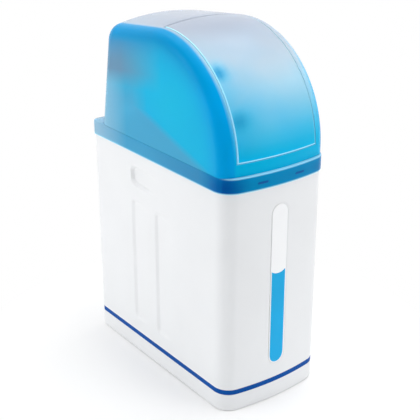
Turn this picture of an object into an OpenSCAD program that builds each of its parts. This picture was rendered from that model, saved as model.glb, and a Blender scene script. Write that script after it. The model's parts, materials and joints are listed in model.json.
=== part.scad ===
// Cabinet water softener: a white brine cabinet that holds a resin tank, its control valve and a brine well,
// under a frosted blue cover with a curved salt lid.
// The origin is the middle of the cabinet's footprint on the floor, the front faces -Y and up is +Z.

/* [Cabinet] */
// Outside width of the cabinet
cabinet_w = 259; // [250:1:300]
// Outside depth of the cabinet on its centre line
cabinet_d = 496; // [480:1:560]
// Height of the cabinet's rim above the floor
rim_z = 520; // [490:1:580]
// Thickness of the cabinet walls
cabinet_t = 4; // [3:0.5:6]
// Thickness of the cabinet floor
floor_t = 5; // [4:0.5:8]
// Radius of the bowed front
bow_r = 560; // [450:5:900]
// Radius of the two front corners
corner_r = 38; // [30:1:50]
// Radius of the two rear corners
rear_r = 12; // [10:1:30]
// Height of the chamfer round the foot
foot_chamfer = 5; // [2:0.5:8]

/* [Side grips and flutes] */
// Rear edge of the grip and of the rear flute, behind the middle of the cabinet
flute_y = 98; // [80:1:110]
// Distance between the two flutes of one side
flute_pitch = 90; // [80:1:110]
// Width of one flute
flute_w = 70; // [40:1:76]
// Depth of the flutes
flute_d = 4; // [2:0.5:6]
// Height of the lower end of the flutes
flute_z0 = 84; // [70:1:120]
// Height of the upper end of the flutes
flute_z1 = 381; // [300:1:395]
// Width of the hand grip
grip_w = 120; // [90:1:130]
// Depth of the hand grip
grip_d = 8; // [6:1:12]
// Height of the lower edge of the hand grip
grip_z0 = 413; // [405:1:420]
// Height of the upper edge of the hand grip
grip_z1 = 459; // [450:1:470]
// Corner radius of the flutes and grips
recess_r = 14; // [6:1:20]

/* [Band and label] */
// Height of the middle of the blue band
band_z = 46; // [35:1:55]
// Height of the band itself
band_h = 11.6; // [8:0.2:16]
// Thickness of the band, and of the label
trim_t = 1.2; // [0.8:0.1:2]
// Width of the strip label
label_w = 40; // [30:1:60]
// Height of the label's lower end
label_z0 = 86; // [75:1:120]
// Height of the label's upper end
label_z1 = 449; // [400:1:460]
// Height of the lowest point of the white part above the blue part
label_split = 299; // [250:1:350]
// Width of the white border beside the blue part
label_border = 2; // [1:0.5:4]
// Gap round the label and between its two parts
label_gap = 0.15; // [0.1:0.05:0.3]

/* [Cover] */
// Wall of the cover's flange
flange_t = 2.7; // [2:0.1:4]
// Gap between the flange and the cabinet
flange_gap = 0.3; // [0.2:0.1:1]
// Height that the flange hangs below the rim
flange_drop = 29; // [20:1:40]
// Thickness of the ledge on top of the flange
ledge_t = 3; // [2:0.5:5]
// Gap between the ledge and the rim
rim_gap = 0.2; // [0.1:0.1:0.5]
// Width of the ledge in front of the hood
front_ledge = 7; // [4:0.5:12]
// Width of the ledge behind the hood
rear_ledge = 21; // [15:1:30]
// Width of the ledge beside the hood
side_ledge = 1.5; // [1:0.5:4]
// Wall of the hood and of the lid
hood_t = 3; // [2.5:0.5:4]
// Radius of the round front of the hood, on its centre line
hood_r = 239; // [225:1:250]
// Height of the centre of that round front above the rim
hood_axis = 20; // [10:1:30]
// Radius of the crown across the hood
crown_r = 520; // [480:5:800]
// Radius of the rounded edges along both sides of the hood
edge_r = 28; // [20:1:30]
// Slope of the hood's top down to the rear, in degrees
top_slope = 5.9; // [4:0.1:8]
// Forward lean of the hood's rear wall, in degrees
rear_lean = 10; // [6:0.5:11]
// Radius between the hood's top and its rear wall
rear_top_r = 52; // [50:1:70]
// Width of the lid opening
opening_w = 201; // [180:1:203]
// Depth of the turned-in lips round the opening and the lid
lip_d = 9; // [6:0.5:11]
// Thickness of those lips
lip_t = 2.5; // [2:0.1:3]
// Distance of the two catches from the middle
catch_x = 47; // [35:1:60]
// Length of a catch
catch_l = 25; // [18:1:32]
// Height of a catch
catch_h = 5; // [4:0.5:8]

/* [Lid and hinge] */
// Gap along the sides and the foot of the lid
seam_gap = 1.5; // [1:0.1:2.5]
// Gap along the upper edge of the lid
top_gap = 2.5; // [2.2:0.1:4]
// Gap between the lid and the sill that it rests on
sill_gap = 0.3; // [0.2:0.1:0.6]
// Distance of the hinge axis behind the upper edge of the lid
hinge_back = 32.5; // [30:0.5:36]
// Distance of the hinge axis below the crown of the hood
hinge_drop = 18; // [16:0.5:20]
// Distance of the two hinge arms from the middle
hinge_x = 62; // [50:1:70]
// Width of a hinge arm
arm_w = 12; // [8:1:16]
// Thickness of the curved hinge arms
arm_t = 5; // [4:0.5:6]
// Radius of the hinge pins
pin_r = 2.5; // [2:0.1:3]
// Running clearance round the hinge pins and the other turning pins
run_gap = 0.05; // [0.03:0.01:0.1]
// Thickness of the hinge ears
ear_t = 5; // [4:0.5:7]
// Gap between an ear and the arm beside it
ear_gap = 0.5; // [0.3:0.1:1]
// Opening angle of the lid, in degrees
lid_open = 118; // [90:1:120]

/* [Resin tank] */
// Radius of the resin tank
tank_r = 101.5; // [85:0.5:105]
// Wall of the resin tank
tank_t = 4; // [3:0.5:6]
// Gap between the tank and the rear wall
tank_gap = 12; // [8:1:20]
// Height of the domed ends of the tank
dome_h = 45; // [35:1:55]
// Height of the tank's foot above the cabinet floor
tank_lift = 8; // [5:1:15]
// Distance of the tank's neck below the rim
neck_drop = 73; // [65:1:85]
// Height of the neck
neck_h = 27; // [20:1:32]
// Outside radius of the neck
neck_r = 38; // [35:0.5:42]
// Height of the tank's boot
boot_h = 62; // [50:1:80]
// Radius of the riser tube
riser_r = 13.4; // [11:0.1:15]
// Height of the resin above the tank's foot
resin_h = 290; // [200:5:320]

/* [Valve] */
// Radius of the valve body
valve_r = 44; // [40:1:48]
// Height of the valve body above the neck
valve_h = 147; // [140:1:155]
// Height of the inlet and outlet above the neck
port_h = 123; // [118:1:128]
// Distance between the inlet and the outlet
port_pitch = 84; // [78:1:88]
// Outside radius of the inlet and outlet tubes
port_r = 17; // [15:0.5:18]
// Radius of the threads for the inlet and outlet pipes
thread_r = 13.2; // [10:0.1:14]
// Length of those threads
thread_l = 16; // [12:1:20]
// Length of the bypass block
bypass_l = 36; // [34:1:44]
// Radius of the bypass knobs
knob_r = 14; // [12:0.5:15]
// Height of the drain barb above the neck
drain_h = 89; // [87:1:92]
// Radius of the drain barb
drain_r = 6.4; // [5:0.1:7]
// Radius of the valve's spindle
spindle_r = 5; // [4:0.5:6]

/* [Control head] */
// Width of the control head
head_w = 200; // [180:1:210]
// Depth of the control head
head_d = 84; // [80:1:88]
// Gap between the control head and the hood above it
head_gap = 28; // [20:1:40]
// Wall of the control head
head_t = 3; // [2.5:0.5:4]
// Thickness of the head's base plate
base_t = 6; // [5:0.5:8]
// Backward tilt of the front panel, in degrees
panel_tilt = 17; // [12:1:20]
// Width of the display window
window_w = 72; // [60:1:90]
// Height of the display window
window_h = 30; // [24:1:34]
// Width of a button
button_w = 15; // [12:0.5:18]
// Height of a button
button_h = 9; // [7:0.5:11]
// Distance between buttons
button_pitch = 24; // [20:1:28]
// Travel of a button
button_travel = 1.2; // [0.8:0.1:1.5]
// Gap round a button
button_gap = 0.3; // [0.2:0.05:0.5]

/* [Drive] */
// Module of the drive gears
gear_m = 1.5; // [1.25:0.05:1.6]
// Teeth of the drive gear
gear_n = 44; // [40:4:48]
// Teeth of the motor pinion
pinion_n = 16; // [16:1:18]
// Height of the gear teeth along the axis
gear_t = 8; // [6:0.5:10]
// Play between the flanks of the teeth
backlash = 0.3; // [0.2:0.05:0.4]
// Radius of the motor
motor_r = 18; // [14:0.5:20]
// Height of the motor
motor_h = 24; // [18:1:26]

/* [Brine system] */
// Radius of the brine well
well_r = 38; // [34:0.5:40]
// Wall of the brine well
well_t = 2.5; // [2:0.5:3]
// Gap between the brine well and the walls and tank beside it
well_gap = 2; // [1.5:0.5:4]
// Height of the brine well above the rim
well_rise = 22; // [15:1:30]
// Radius of the float
float_r = 18; // [14:0.5:19]
// Height of the float
float_h = 50; // [40:1:60]
// Travel of the float
float_travel = 12; // [8:0.5:16]
// Radius of the float rod
rod_r = 2.5; // [2:0.1:3]
// Radius of the pick-up tube
pickup_r = 6; // [5:0.1:7]
// Radius of the brine line
line_r = 4.75; // [4:0.05:5]
// Height of the salt platform above the floor
platform_z = 70; // [60:1:90]
// Thickness of the salt platform
platform_t = 4; // [3:0.5:6]
// Pitch of the holes in the salt platform
hole_pitch = 20; // [18:1:28]
// Radius of those holes
hole_r = 4; // [3:0.5:5]
// Height of the overflow
overflow_z = 430; // [400:1:460]
// Distance of the overflow from the cabinet's right-hand side
overflow_in = 43.5; // [35:0.5:55]
// Radius of the overflow's barb
overflow_r = 7; // [5:0.5:8]

/* [Hidden] */
$fn = 48;

white = [0.94, 0.945, 0.95];
frosted_blue = [0.05, 0.62, 0.86];
navy = [0.05, 0.27, 0.6];
label_blue = [0.06, 0.6, 0.85];
tank_blue = [0.25, 0.42, 0.6];
black_plastic = [0.1, 0.1, 0.11];
dark_grey = [0.25, 0.26, 0.28];
mid_grey = [0.55, 0.56, 0.58];
steel = [0.75, 0.76, 0.78];
resin_amber = [0.75, 0.5, 0.2];
board_green = [0.1, 0.4, 0.2];
red_plastic = [0.75, 0.12, 0.1];

// A small overlap where two forms of one moulding run into each other
melt = 1;
// A cut that runs past a face
past = 1;

// Points on an arc about c, from angle a0 to a1 in n steps
function arc(c, r, a0, a1, n) = [for (k = [0:n]) let (a = a0 + (a1 - a0) * k / n) c + r * [cos(a), sin(a)]];

// Rectangle with round corners, in counter-clockwise order
function round_rect(x0, x1, y0, y1, r, n = 5) = concat(
    arc([x1 - r, y1 - r], r, 0, 90, n), arc([x0 + r, y1 - r], r, 90, 180, n),
    arc([x0 + r, y0 + r], r, 180, 270, n), arc([x1 - r, y0 + r], r, 270, 360, n));

function unit(v) = v / norm(v);
function turn_left(v) = [-v[1], v[0]];

// Outline p moved inwards by t (p runs counter-clockwise)
function inset(p, t) = let (n = len(p)) [for (i = [0:n - 1]) let (
    a = turn_left(unit(p[i] - p[(i + n - 1) % n])), b = turn_left(unit(p[(i + 1) % n] - p[i])))
    p[i] + t * (a + b) / (1 + a * b)];

// Outline p with each corner rounded to radius r
function fillet(p, r, n = 4) = let (m = len(p)) [for (i = [0:m - 1]) let (
    u = unit(p[(i + m - 1) % m] - p[i]), v = unit(p[(i + 1) % m] - p[i]),
    half = acos(u * v) / 2, c = p[i] + unit(u + v) * r / sin(half),
    from = p[i] + u * r / tan(half) - c, to = p[i] + v * r / tan(half) - c)
    for (k = [0:n]) c + r * unit(from * (1 - k / n) + to * k / n)];

// An outline in (y, z), extruded along X from x0 to x1
module along_x(x0, x1) translate([x0, 0, 0]) rotate([90, 0, 90]) linear_extrude(x1 - x0) children();

// An outline in (x, z), extruded along Y from y0 to y1
module along_y(y0, y1) translate([0, y1, 0]) rotate([90, 0, 0]) linear_extrude(y1 - y0) children();

module tube(r, bore, h) difference() {
    cylinder(r = r, h = h);
    translate([0, 0, -past]) cylinder(r = bore, h = h + 2 * past);
}

// A torus about Z
module ring(r, wire) rotate_extrude() translate([r, 0]) circle(r = wire, $fn = 24);

// A tube with facets along points p, with its end faces square to its run
module swept(p, r, sides) {
    n = len(p);
    dir = [for (i = [0:n - 1]) unit(p[min(i + 1, n - 1)] - p[max(i - 1, 0)])];
    rings = [for (i = [0:n - 1]) let (
        side = unit(cross(dir[i], [0, 0, 1])), up = cross(side, dir[i]))
        for (k = [0:sides - 1]) p[i] + r * (cos(360 * k / sides) * side + sin(360 * k / sides) * up)];
    walls = [for (i = [0:n - 2]) for (k = [0:sides - 1]) let (
        a = i * sides + k, b = i * sides + (k + 1) % sides, c = b + sides, d = a + sides)
        each [[a, b, c], [a, c, d]]];
    ends = [[for (k = [sides - 1:-1:0]) k], [for (k = [0:sides - 1]) (n - 1) * sides + k]];
    polyhedron(rings, concat(walls, ends), convexity = 4);
}

// Plan of the cabinet, moved outwards by grow
function plan(grow) = let (
    half = cabinet_w / 2 + grow, rc = corner_r + grow, rr = rear_r + grow, bow = bow_r + grow,
    y_bow = -cabinet_d / 2 - grow + bow, y_rear = cabinet_d / 2 + grow, xc = half - rc,
    a = asin(xc / (bow - rc)), yc = y_bow - (bow - rc) * cos(a))
    concat(arc([half - rr, y_rear - rr], rr, 0, 90, 4), arc([rr - half, y_rear - rr], rr, 90, 180, 4),
        arc([-xc, yc], rc, 180, 270 - a, 8),
        [for (k = [1:15]) [0, y_bow] + bow * [sin(a * (k / 8 - 1)), -cos(a * (k / 8 - 1))]],
        arc([xc, yc], rc, 270 + a, 360, 8));

// The layer of the cabinet between depths d0 and d1 below its surface
module skin_layer(d0, d1, z0, z1) translate([0, 0, z0]) linear_extrude(z1 - z0) difference() {
    polygon(plan(-d0));
    polygon(plan(-d1));
}

// Inner faces of the cabinet
inner_x = cabinet_w / 2 - cabinet_t;
overflow_x = cabinet_w / 2 - overflow_in;
inner_rear = cabinet_d / 2 - cabinet_t;

// Each side recess: rear edge, front edge, lower edge, upper edge, depth
recesses = [
    [flute_y, flute_y - flute_w, flute_z0, flute_z1, flute_d],
    [flute_y - flute_pitch, flute_y - flute_pitch - flute_w, flute_z0, flute_z1, flute_d],
    [flute_y, flute_y - grip_w, grip_z0, grip_z1, grip_d]];

// One recess of the right-hand wall, grown by a wall's thickness where it bulges inside
module recess(r, grow) along_x(cabinet_w / 2 - r[4] - grow, cabinet_w / 2 + past)
    polygon(round_rect(r[1] - grow, r[0] + grow, r[2] - grow, r[3] + grow, recess_r + grow));

module both_sides() {
    children();
    mirror([1, 0, 0]) children();
}

module cabinet() color(white) difference() {
    union() {
        hull() {
            linear_extrude(1) polygon(plan(-foot_chamfer));
            translate([0, 0, foot_chamfer]) linear_extrude(1) polygon(plan(0));
        }
        translate([0, 0, foot_chamfer]) linear_extrude(rim_z - foot_chamfer) polygon(plan(0));
    }
    difference() {
        translate([0, 0, floor_t + foot_chamfer / 2]) linear_extrude(rim_z) polygon(plan(-cabinet_t));
        both_sides() for (r = recesses) recess(r, cabinet_t);
    }
    both_sides() for (r = recesses) recess(r, 0);
    skin_layer(-past, trim_t, band_z - band_h / 2, band_z + band_h / 2);
    intersection() {
        skin_layer(-past, trim_t, label_z0 - past, label_z1 + past);
        along_y(-cabinet_d, 0) polygon(label_outline(0));
    }
    translate([overflow_x, inner_rear - past, overflow_z]) rotate([-90, 0, 0])
        cylinder(r = overflow_r + 4, h = cabinet_t + 2 * past);
}

// Upper face of the cabinet floor
floor_z = floor_t + foot_chamfer / 2;

module base_band() color(navy)
    skin_layer(0, trim_t, band_z - band_h / 2 + label_gap, band_z + band_h / 2 - label_gap);

// Outline of the label with round ends, in (x, z)
function label_outline(gap) = let (r = label_w / 2 - gap) concat(
    arc([0, label_z1 - label_w / 2], r, 0, 180, 12), arc([0, label_z0 + label_w / 2], r, 180, 360, 12));

// Outline of the blue part: a round foot, and a hollow top that takes the round end of the white part
function inlay_outline(gap) = let (
    r = label_w / 2 - label_border - gap, end_r = label_w * 0.75, a = asin(r / end_r))
    concat(arc([0, label_z0 + label_w / 2], r, 180, 360, 12),
        [for (k = [0:8]) let (b = a - a * k / 4)
            [0, label_split + end_r] + (end_r + gap) * [sin(b), -cos(b)]]);

module label_plate() color("white") intersection() {
    skin_layer(0, trim_t, label_z0, label_z1);
    along_y(-cabinet_d, 0) difference() {
        polygon(label_outline(label_gap));
        polygon(inlay_outline(0));
    }
}

module label_inlay() color(label_blue) intersection() {
    skin_layer(0, trim_t, label_z0, label_z1);
    along_y(-cabinet_d, 0) polygon(inlay_outline(label_gap));
}

// The hood: a section across it, swept along a side profile.
// The section is a shallow crown with rounded edges; the profile is the line that the crown's top follows.
flange_grow = flange_gap + flange_t;
ledge_z = rim_z + rim_gap;
hood_base = ledge_z + ledge_t / 2;
hood_half = cabinet_w / 2 + flange_grow - side_ledge;
hood_front = -cabinet_d / 2 - flange_grow + front_ledge;
hood_rear = cabinet_d / 2 + flange_grow - rear_ledge;
axis = [hood_front + hood_r, rim_z + hood_axis];
top_a = 90 + top_slope;
rear_a = 180 - rear_lean;

// Outward direction at profile angle a, which is 0 at the front and 90 at the top
function outward(a) = [-cos(a), sin(a)];

// Centre of the rounding between the top and the rear wall
rear_c = let (
    n = outward(top_a), m = outward(rear_a), s = n * axis + hood_r - rear_top_r,
    t = m * [hood_rear, hood_base] - rear_top_r, det = n[0] * m[1] - n[1] * m[0])
    [s * m[1] - t * n[1], t * n[0] - s * m[0]] / det;

// Height of the hood's surface above (x, y) on its round front
function front_top(x, y) = axis[1] + sqrt((hood_r - crown_drop(x)) ^ 2 - (y - axis[0]) ^ 2);
// Height of the hood's surface above (x, y) on its flat top
function hood_top(x, y) = let (n = outward(top_a)) (n * axis + hood_r - crown_drop(x) - n[0] * y) / n[1];

// Section points: x, depth below the crown, and the outward direction
function crown_drop(x) = crown_r - sqrt(crown_r ^ 2 - x ^ 2);
function crown_point(x) = let (a = asin(x / crown_r)) [x, crown_drop(x), sin(a), cos(a)];
edge_x = hood_half - edge_r;
edge_a = asin(edge_x / (crown_r - edge_r));
edge_drop = crown_r - (crown_r - edge_r) * cos(edge_a);
function edge_point(a) = [edge_x + edge_r * sin(a), edge_drop - edge_r * cos(a), sin(a), cos(a)];
function both_halves(half) = concat(
    [for (k = [len(half) - 1:-1:1]) let (p = half[k]) [-p[0], p[1], -p[2], p[3]]], half);

// Profile stations: y, z, the direction that depth is measured against, and the profile angle
function station(c, r, a) = [c[0] - r * cos(a), c[1] + r * sin(a), outward(a)[0], outward(a)[1], a];
function skin_point(s, p, t) = let (d = p[1] + t * p[3])
    [p[0] - t * p[2], s[0] - d * s[2], s[1] - d * s[3]];

// A wall between depths outer(i, j) and inner(i, j) below the hood's surface, over the cells of keep(i, j).
// With sides, flat walls close it at both ends of the section.
module moulding(st, col, outer, inner, keep, sides = false) {
    ni = len(st);
    nj = len(col);
    points = [for (depth = [outer, inner]) for (i = [0:ni - 1]) for (j = [0:nj - 1])
        skin_point(st[i], col[j], depth(i, j))];
    o = function (i, j) i * nj + j;
    n = function (i, j) ni * nj + i * nj + j;
    has = function (i, j) i >= 0 && j >= 0 && i < ni - 1 && j < nj - 1 ? keep(i, j) : false;
    open_side = function (i, j) sides ? j >= 0 && j < nj - 1 && !has(i, j) : !has(i, j);
    skins = [for (i = [0:ni - 2]) for (j = [0:nj - 2]) if (has(i, j)) each [
        [o(i, j), o(i + 1, j), o(i + 1, j + 1)], [o(i, j), o(i + 1, j + 1), o(i, j + 1)],
        [n(i, j), n(i + 1, j + 1), n(i + 1, j)], [n(i, j), n(i, j + 1), n(i + 1, j + 1)]]];
    rims = [for (i = [0:ni - 2]) for (j = [0:nj - 2]) if (has(i, j)) each [
        if (open_side(i, j + 1)) [o(i, j + 1), o(i + 1, j + 1), n(i + 1, j + 1), n(i, j + 1)],
        if (open_side(i, j - 1)) [o(i + 1, j), o(i, j), n(i, j), n(i + 1, j)],
        if (!has(i - 1, j)) [o(i, j), o(i, j + 1), n(i, j + 1), n(i, j)],
        if (!has(i + 1, j)) [o(i + 1, j + 1), o(i + 1, j), n(i + 1, j), n(i + 1, j + 1)]]];
    side_walls = !sides ? [] : [
        [for (i = [0:ni - 1]) o(i, nj - 1)], [for (i = [ni - 1:-1:0]) n(i, nj - 1)],
        [o(0, nj - 1), o(ni - 1, nj - 1), n(ni - 1, nj - 1), n(0, nj - 1)],
        [for (i = [ni - 1:-1:0]) o(i, 0)], [for (i = [0:ni - 1]) n(i, 0)],
        [o(ni - 1, 0), o(0, 0), n(0, 0), n(ni - 1, 0)]];
    polyhedron(points, concat(skins, rims, side_walls), convexity = 8);
}

// Angle that a length takes up on the hood's round front
function as_angle(l) = l / hood_r * 180 / PI;
lip_step = 0.1;
opening_half = opening_w / 2;
opening_a0 = as_angle(lip_t) + 1.4;
opening_a1 = 92;
lid_steps = 12;
function spread(a, b, n) = [for (k = [1:n - 1]) a + (b - a) * k / n];

hood_col = both_halves(concat(
    [for (k = [0:4]) crown_point(opening_half * k / 4)],
    [crown_point(opening_half + lip_t), crown_point(opening_half + lip_t + lip_step)],
    [for (k = [0:6]) edge_point(edge_a + (90 - edge_a) * k / 6)]));
lip_a0 = opening_a0 - as_angle(lip_t);
hood_a = concat([0, lip_a0 - as_angle(lip_step), lip_a0, opening_a0],
    spread(opening_a0, opening_a1, lid_steps), [opening_a1]);
hood_st = concat([[hood_front, hood_base, -1, 0, -1]],
    [for (a = hood_a) station(axis, hood_r, a)], [station(axis, hood_r, top_a)],
    [for (k = [0:6]) station(rear_c, rear_top_r, top_a + (rear_a - top_a) * k / 6)],
    [[hood_rear, hood_base, 1 / cos(rear_lean), 0, 180]]);

// True beside the opening, where the hood's wall turns in as a lip
function at_lip(s, p) = let (x = abs(p[0]), a = s[4])
    a >= lip_a0 && a <= opening_a1 && x < opening_half + lip_t + 0.01
    && (x > opening_half - 0.01 || a <= opening_a0);
function in_opening(a, x) = a > opening_a0 && a < opening_a1 && abs(x) < opening_half;

module hood_shell() moulding(hood_st, hood_col, function (i, j) 0,
    function (i, j) at_lip(hood_st[i], hood_col[j]) ? lip_d : hood_t,
    function (i, j) !in_opening((hood_st[i][4] + hood_st[i + 1][4]) / 2,
        (hood_col[j][0] + hood_col[j + 1][0]) / 2),
    sides = true);

// The sill under the lid's foot
sill_reach = 7;
sill_t = 3;
sill_half = opening_half - 8;
sill_col = both_halves([for (k = [0:4]) crown_point(sill_half * k / 4)]);
sill_a1 = opening_a0 + as_angle(seam_gap + sill_reach);
sill_a = [lip_a0, opening_a0, opening_a0 + as_angle(lip_step), sill_a1];
sill_st = [for (a = sill_a) station(axis, hood_r, a)];
module sill() moulding(sill_st, sill_col,
    function (i, j) i < 2 ? lip_d - melt : lip_d + sill_gap, function (i, j) lip_d + sill_gap + sill_t,
    function (i, j) true);

// Hinge axis, in (y, z)
lid_a1 = opening_a1 - as_angle(top_gap);
lid_edge = station(axis, hood_r, lid_a1)[0];
pivot = [lid_edge + hinge_back, axis[1] + hood_r - hinge_drop];
boss_r = pin_r + 4.5;

// One hinge ear, whose top runs into the hood's wall
module ear(x) along_x(x - ear_t / 2, x + ear_t / 2) difference() {
    union() {
        translate(pivot) circle(r = boss_r);
        polygon([pivot + [-boss_r, 0], pivot + [boss_r, 0],
            [pivot[0] + 2 * boss_r, hood_top(x, pivot[0] + 2 * boss_r) - hood_t / 2],
            [pivot[0] - boss_r, hood_top(x, pivot[0] - boss_r) - hood_t / 2]]);
    }
    translate(pivot) circle(r = pin_r + run_gap / 2);
}
ear_x = arm_w / 2 + ear_gap + ear_t / 2;

// The way through the hood's rear wall, ledge and flange for the pipes
port_z = rim_z - neck_drop + port_h;
notch_half = port_pitch / 2 + port_r + 7;
notch_top = port_z + port_r + 10;

// Plan of the hood's foot at a given depth below its surface
function hood_plan(t) = let (f = hood_st[0], r = hood_st[len(hood_st) - 1]) concat(
    [for (p = hood_col) let (q = skin_point(f, p, t)) [q[0], q[1]]],
    [for (k = [len(hood_col) - 1:-1:0]) let (q = skin_point(r, hood_col[k], t)) [q[0], q[1]]]);

catch_z = ledge_z - flange_drop / 2;
module catch_slot(grow) both_sides() translate([catch_x, 0, catch_z]) along_y(-cabinet_d, 0)
    polygon(round_rect(-catch_l / 2 - grow, catch_l / 2 + grow, -catch_h / 2 - grow, catch_h / 2 + grow,
        2 + grow));

module flange() difference() {
    union() {
        translate([0, 0, rim_z - flange_drop]) linear_extrude(flange_drop + rim_gap + ledge_t)
            difference() {
                polygon(plan(flange_grow));
                polygon(plan(flange_gap));
            }
        translate([0, 0, ledge_z]) linear_extrude(ledge_t) difference() {
            polygon(plan(flange_grow - melt));
            polygon(hood_plan(hood_t + melt));
        }
    }
    catch_slot(label_gap);
}

module top_cover() color(frosted_blue) difference() {
    union() {
        hood_shell();
        sill();
        flange();
        both_sides() for (side = [-1, 1]) ear(hinge_x + side * ear_x);
    }
    translate([-notch_half, 0, 0]) cube([2 * notch_half, cabinet_d, notch_top]);
}

module cover_catches() color(navy) intersection() {
    skin_layer(-flange_grow, -flange_gap, rim_z - flange_drop, rim_z);
    catch_slot(0);
}

// The lid: the same surface as the hood's front, inside the seam
lid_half = opening_half - seam_gap;
lid_a0 = opening_a0 + as_angle(seam_gap);
lid_col = both_halves(concat([for (k = [0:4]) crown_point((lid_half - lip_t - lip_step) * k / 4)],
    [crown_point(lid_half - lip_t), crown_point(lid_half)]));
lid_lip_a = lid_a0 + as_angle(lip_t);
lid_a = concat([lid_a0, lid_lip_a, lid_lip_a + as_angle(lip_step)],
    spread(lid_lip_a, lid_a1, lid_steps), [lid_a1]);
lid_st = [for (a = lid_a) station(axis, hood_r, a)];
module lid_shell() moulding(lid_st, lid_col, function (i, j) 0,
    function (i, j) abs(lid_col[j][0]) > lid_half - lip_t - 0.01 || lid_st[i][4] <= lid_lip_a
        ? lip_d : hood_t,
    function (i, j) true);

// A gooseneck arm: a curved arm about the pivot that reaches round the hood's edge to the lid
arm_in = norm([hinge_back - top_gap, hinge_drop]) + 1;
arm_mid = arm_in + arm_t / 2;
arm_back = lid_open - 6;
module arm() along_x(hinge_x - arm_w / 2, hinge_x + arm_w / 2) difference() {
    translate(pivot) union() {
        circle(r = boss_r);
        rotate(arm_back - 180) translate([0, -arm_t / 2]) square([arm_mid, arm_t]);
        intersection() {
            difference() {
                circle(r = arm_in + arm_t, $fn = 96);
                circle(r = arm_in, $fn = 96);
            }
            polygon(concat([[0, 0]], arc([0, 0], 2 * arm_in, 178, 180 + arm_back, 6)));
        }
        translate([-arm_in - arm_t, 0])
            square([arm_t, front_top(hinge_x, pivot[0] - arm_mid) - hood_t / 2 - pivot[1]]);
    }
    translate(pivot) circle(r = pin_r + run_gap);
}

module salt_lid() color(frosted_blue) {
    lid_shell();
    both_sides() arm();
}

module hinge_pins() color(steel) both_sides()
    along_x(hinge_x - ear_x - ear_t / 2, hinge_x + ear_x + ear_t / 2) translate(pivot) circle(r = pin_r);

// The resin tank and what it holds
tank_y = inner_rear - tank_gap - tank_r;
tank_z0 = floor_z + tank_lift;
neck_z = rim_z - neck_drop;
tank_top = neck_z - neck_h;
module at_tank(z = 0) translate([0, tank_y, z]) children();

// Profile of the tank at a depth t inside its surface, from the foot to the neck
function tank_profile(t, foot, neck_top) = let (r = tank_r - t, h = dome_h - t) concat(
    [[0, foot]], [for (k = [1:8]) [r * sin(k * 90 / 8), tank_z0 + dome_h - h * cos(k * 90 / 8)]],
    [for (k = [0:7]) let (a = k * 90 / 8, x = r * cos(a))
        if (x > neck_r - t + 4) [x, tank_top - dome_h + h * sin(a)]],
    [[neck_r - t, tank_top + 2 - t], [neck_r - t, neck_top], [0, neck_top]]);

module resin_tank() color(tank_blue) at_tank() difference() {
    rotate_extrude($fn = 96) polygon(tank_profile(0, tank_z0, neck_z));
    rotate_extrude($fn = 96) polygon(tank_profile(tank_t, tank_z0 + tank_t, neck_z + past));
}

boot_gap = 0.2;
module tank_boot() color(black_plastic) at_tank() difference() {
    translate([0, 0, floor_z]) cylinder(r = tank_r + boot_gap + 3, h = boot_h, $fn = 96);
    rotate_extrude($fn = 96) polygon(tank_profile(-boot_gap, tank_z0 - boot_gap, neck_z));
    translate([0, 0, floor_z - past]) cylinder(r = tank_r * 0.6, h = boot_h);
}

basket_r = riser_r + 10;
basket_h = 46;
// The lower basket stands where its rim meets the domed foot of the tank
basket_gap = 0.4;
basket_z = tank_z0 + dome_h + basket_gap
    - (dome_h - tank_t) * sqrt(1 - (basket_r / (tank_r - tank_t)) ^ 2);
module slotted_basket(h) difference() {
    cylinder(r = basket_r, h = h);
    for (k = [1:5]) translate([0, 0, h * k / 6 - 1]) difference() {
        cylinder(r = basket_r + past, h = 2);
        cylinder(r = basket_r - 2, h = 2);
        for (a = [0:90:270]) rotate(a) translate([0, -3, -past]) cube([basket_r + past, 6, 2 + 2 * past]);
    }
}
module lower_basket() color(mid_grey) at_tank(basket_z) difference() {
    slotted_basket(basket_h);
    translate([0, 0, basket_h - 20]) cylinder(r = riser_r + run_gap, h = 21);
}

spigot_h = 20;
upper_h = 34;
upper_z = neck_z - spigot_h - upper_h;
module upper_basket() color(mid_grey) at_tank(upper_z) difference() {
    slotted_basket(upper_h);
    translate([0, 0, -past]) cylinder(r = riser_r + run_gap, h = upper_h + 2 * past);
}

riser_t = 2;
module riser_tube() color("white") at_tank(basket_z + basket_h - 20)
    tube(riser_r, riser_r - riser_t, neck_z + 6 - basket_z - basket_h + 20);

resin_gap = 0.3;
module resin_bed() color(resin_amber) at_tank() difference() {
    intersection() {
        rotate_extrude($fn = 96)
            polygon(tank_profile(tank_t + resin_gap, tank_z0 + tank_t + resin_gap, neck_z));
        cylinder(r = tank_r, h = tank_z0 + resin_h);
    }
    cylinder(r = riser_r + resin_gap, h = neck_z);
    translate([0, 0, basket_z - past]) cylinder(r = basket_r + resin_gap, h = basket_h + resin_gap + past);
}

// The control valve
spigot_gap = 0.3;
collar_h = 18;
seal_wire = 2;
valve_top = neck_z + valve_h;
chamber_z = neck_z + 40;
chamber_h = 22;
rotor_r = valve_r - 14;
drain_z = neck_z + drain_h;
manifold_end = hood_rear - 4;
port_x = port_pitch / 2;
brine_z = neck_z + 66;
brine_out = 16;

module port_tubes(r, y0, y1) for (side = [-1, 1]) translate([side * port_x, y0, port_z]) rotate([-90, 0, 0])
    cylinder(r = r, h = y1 - y0);

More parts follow.
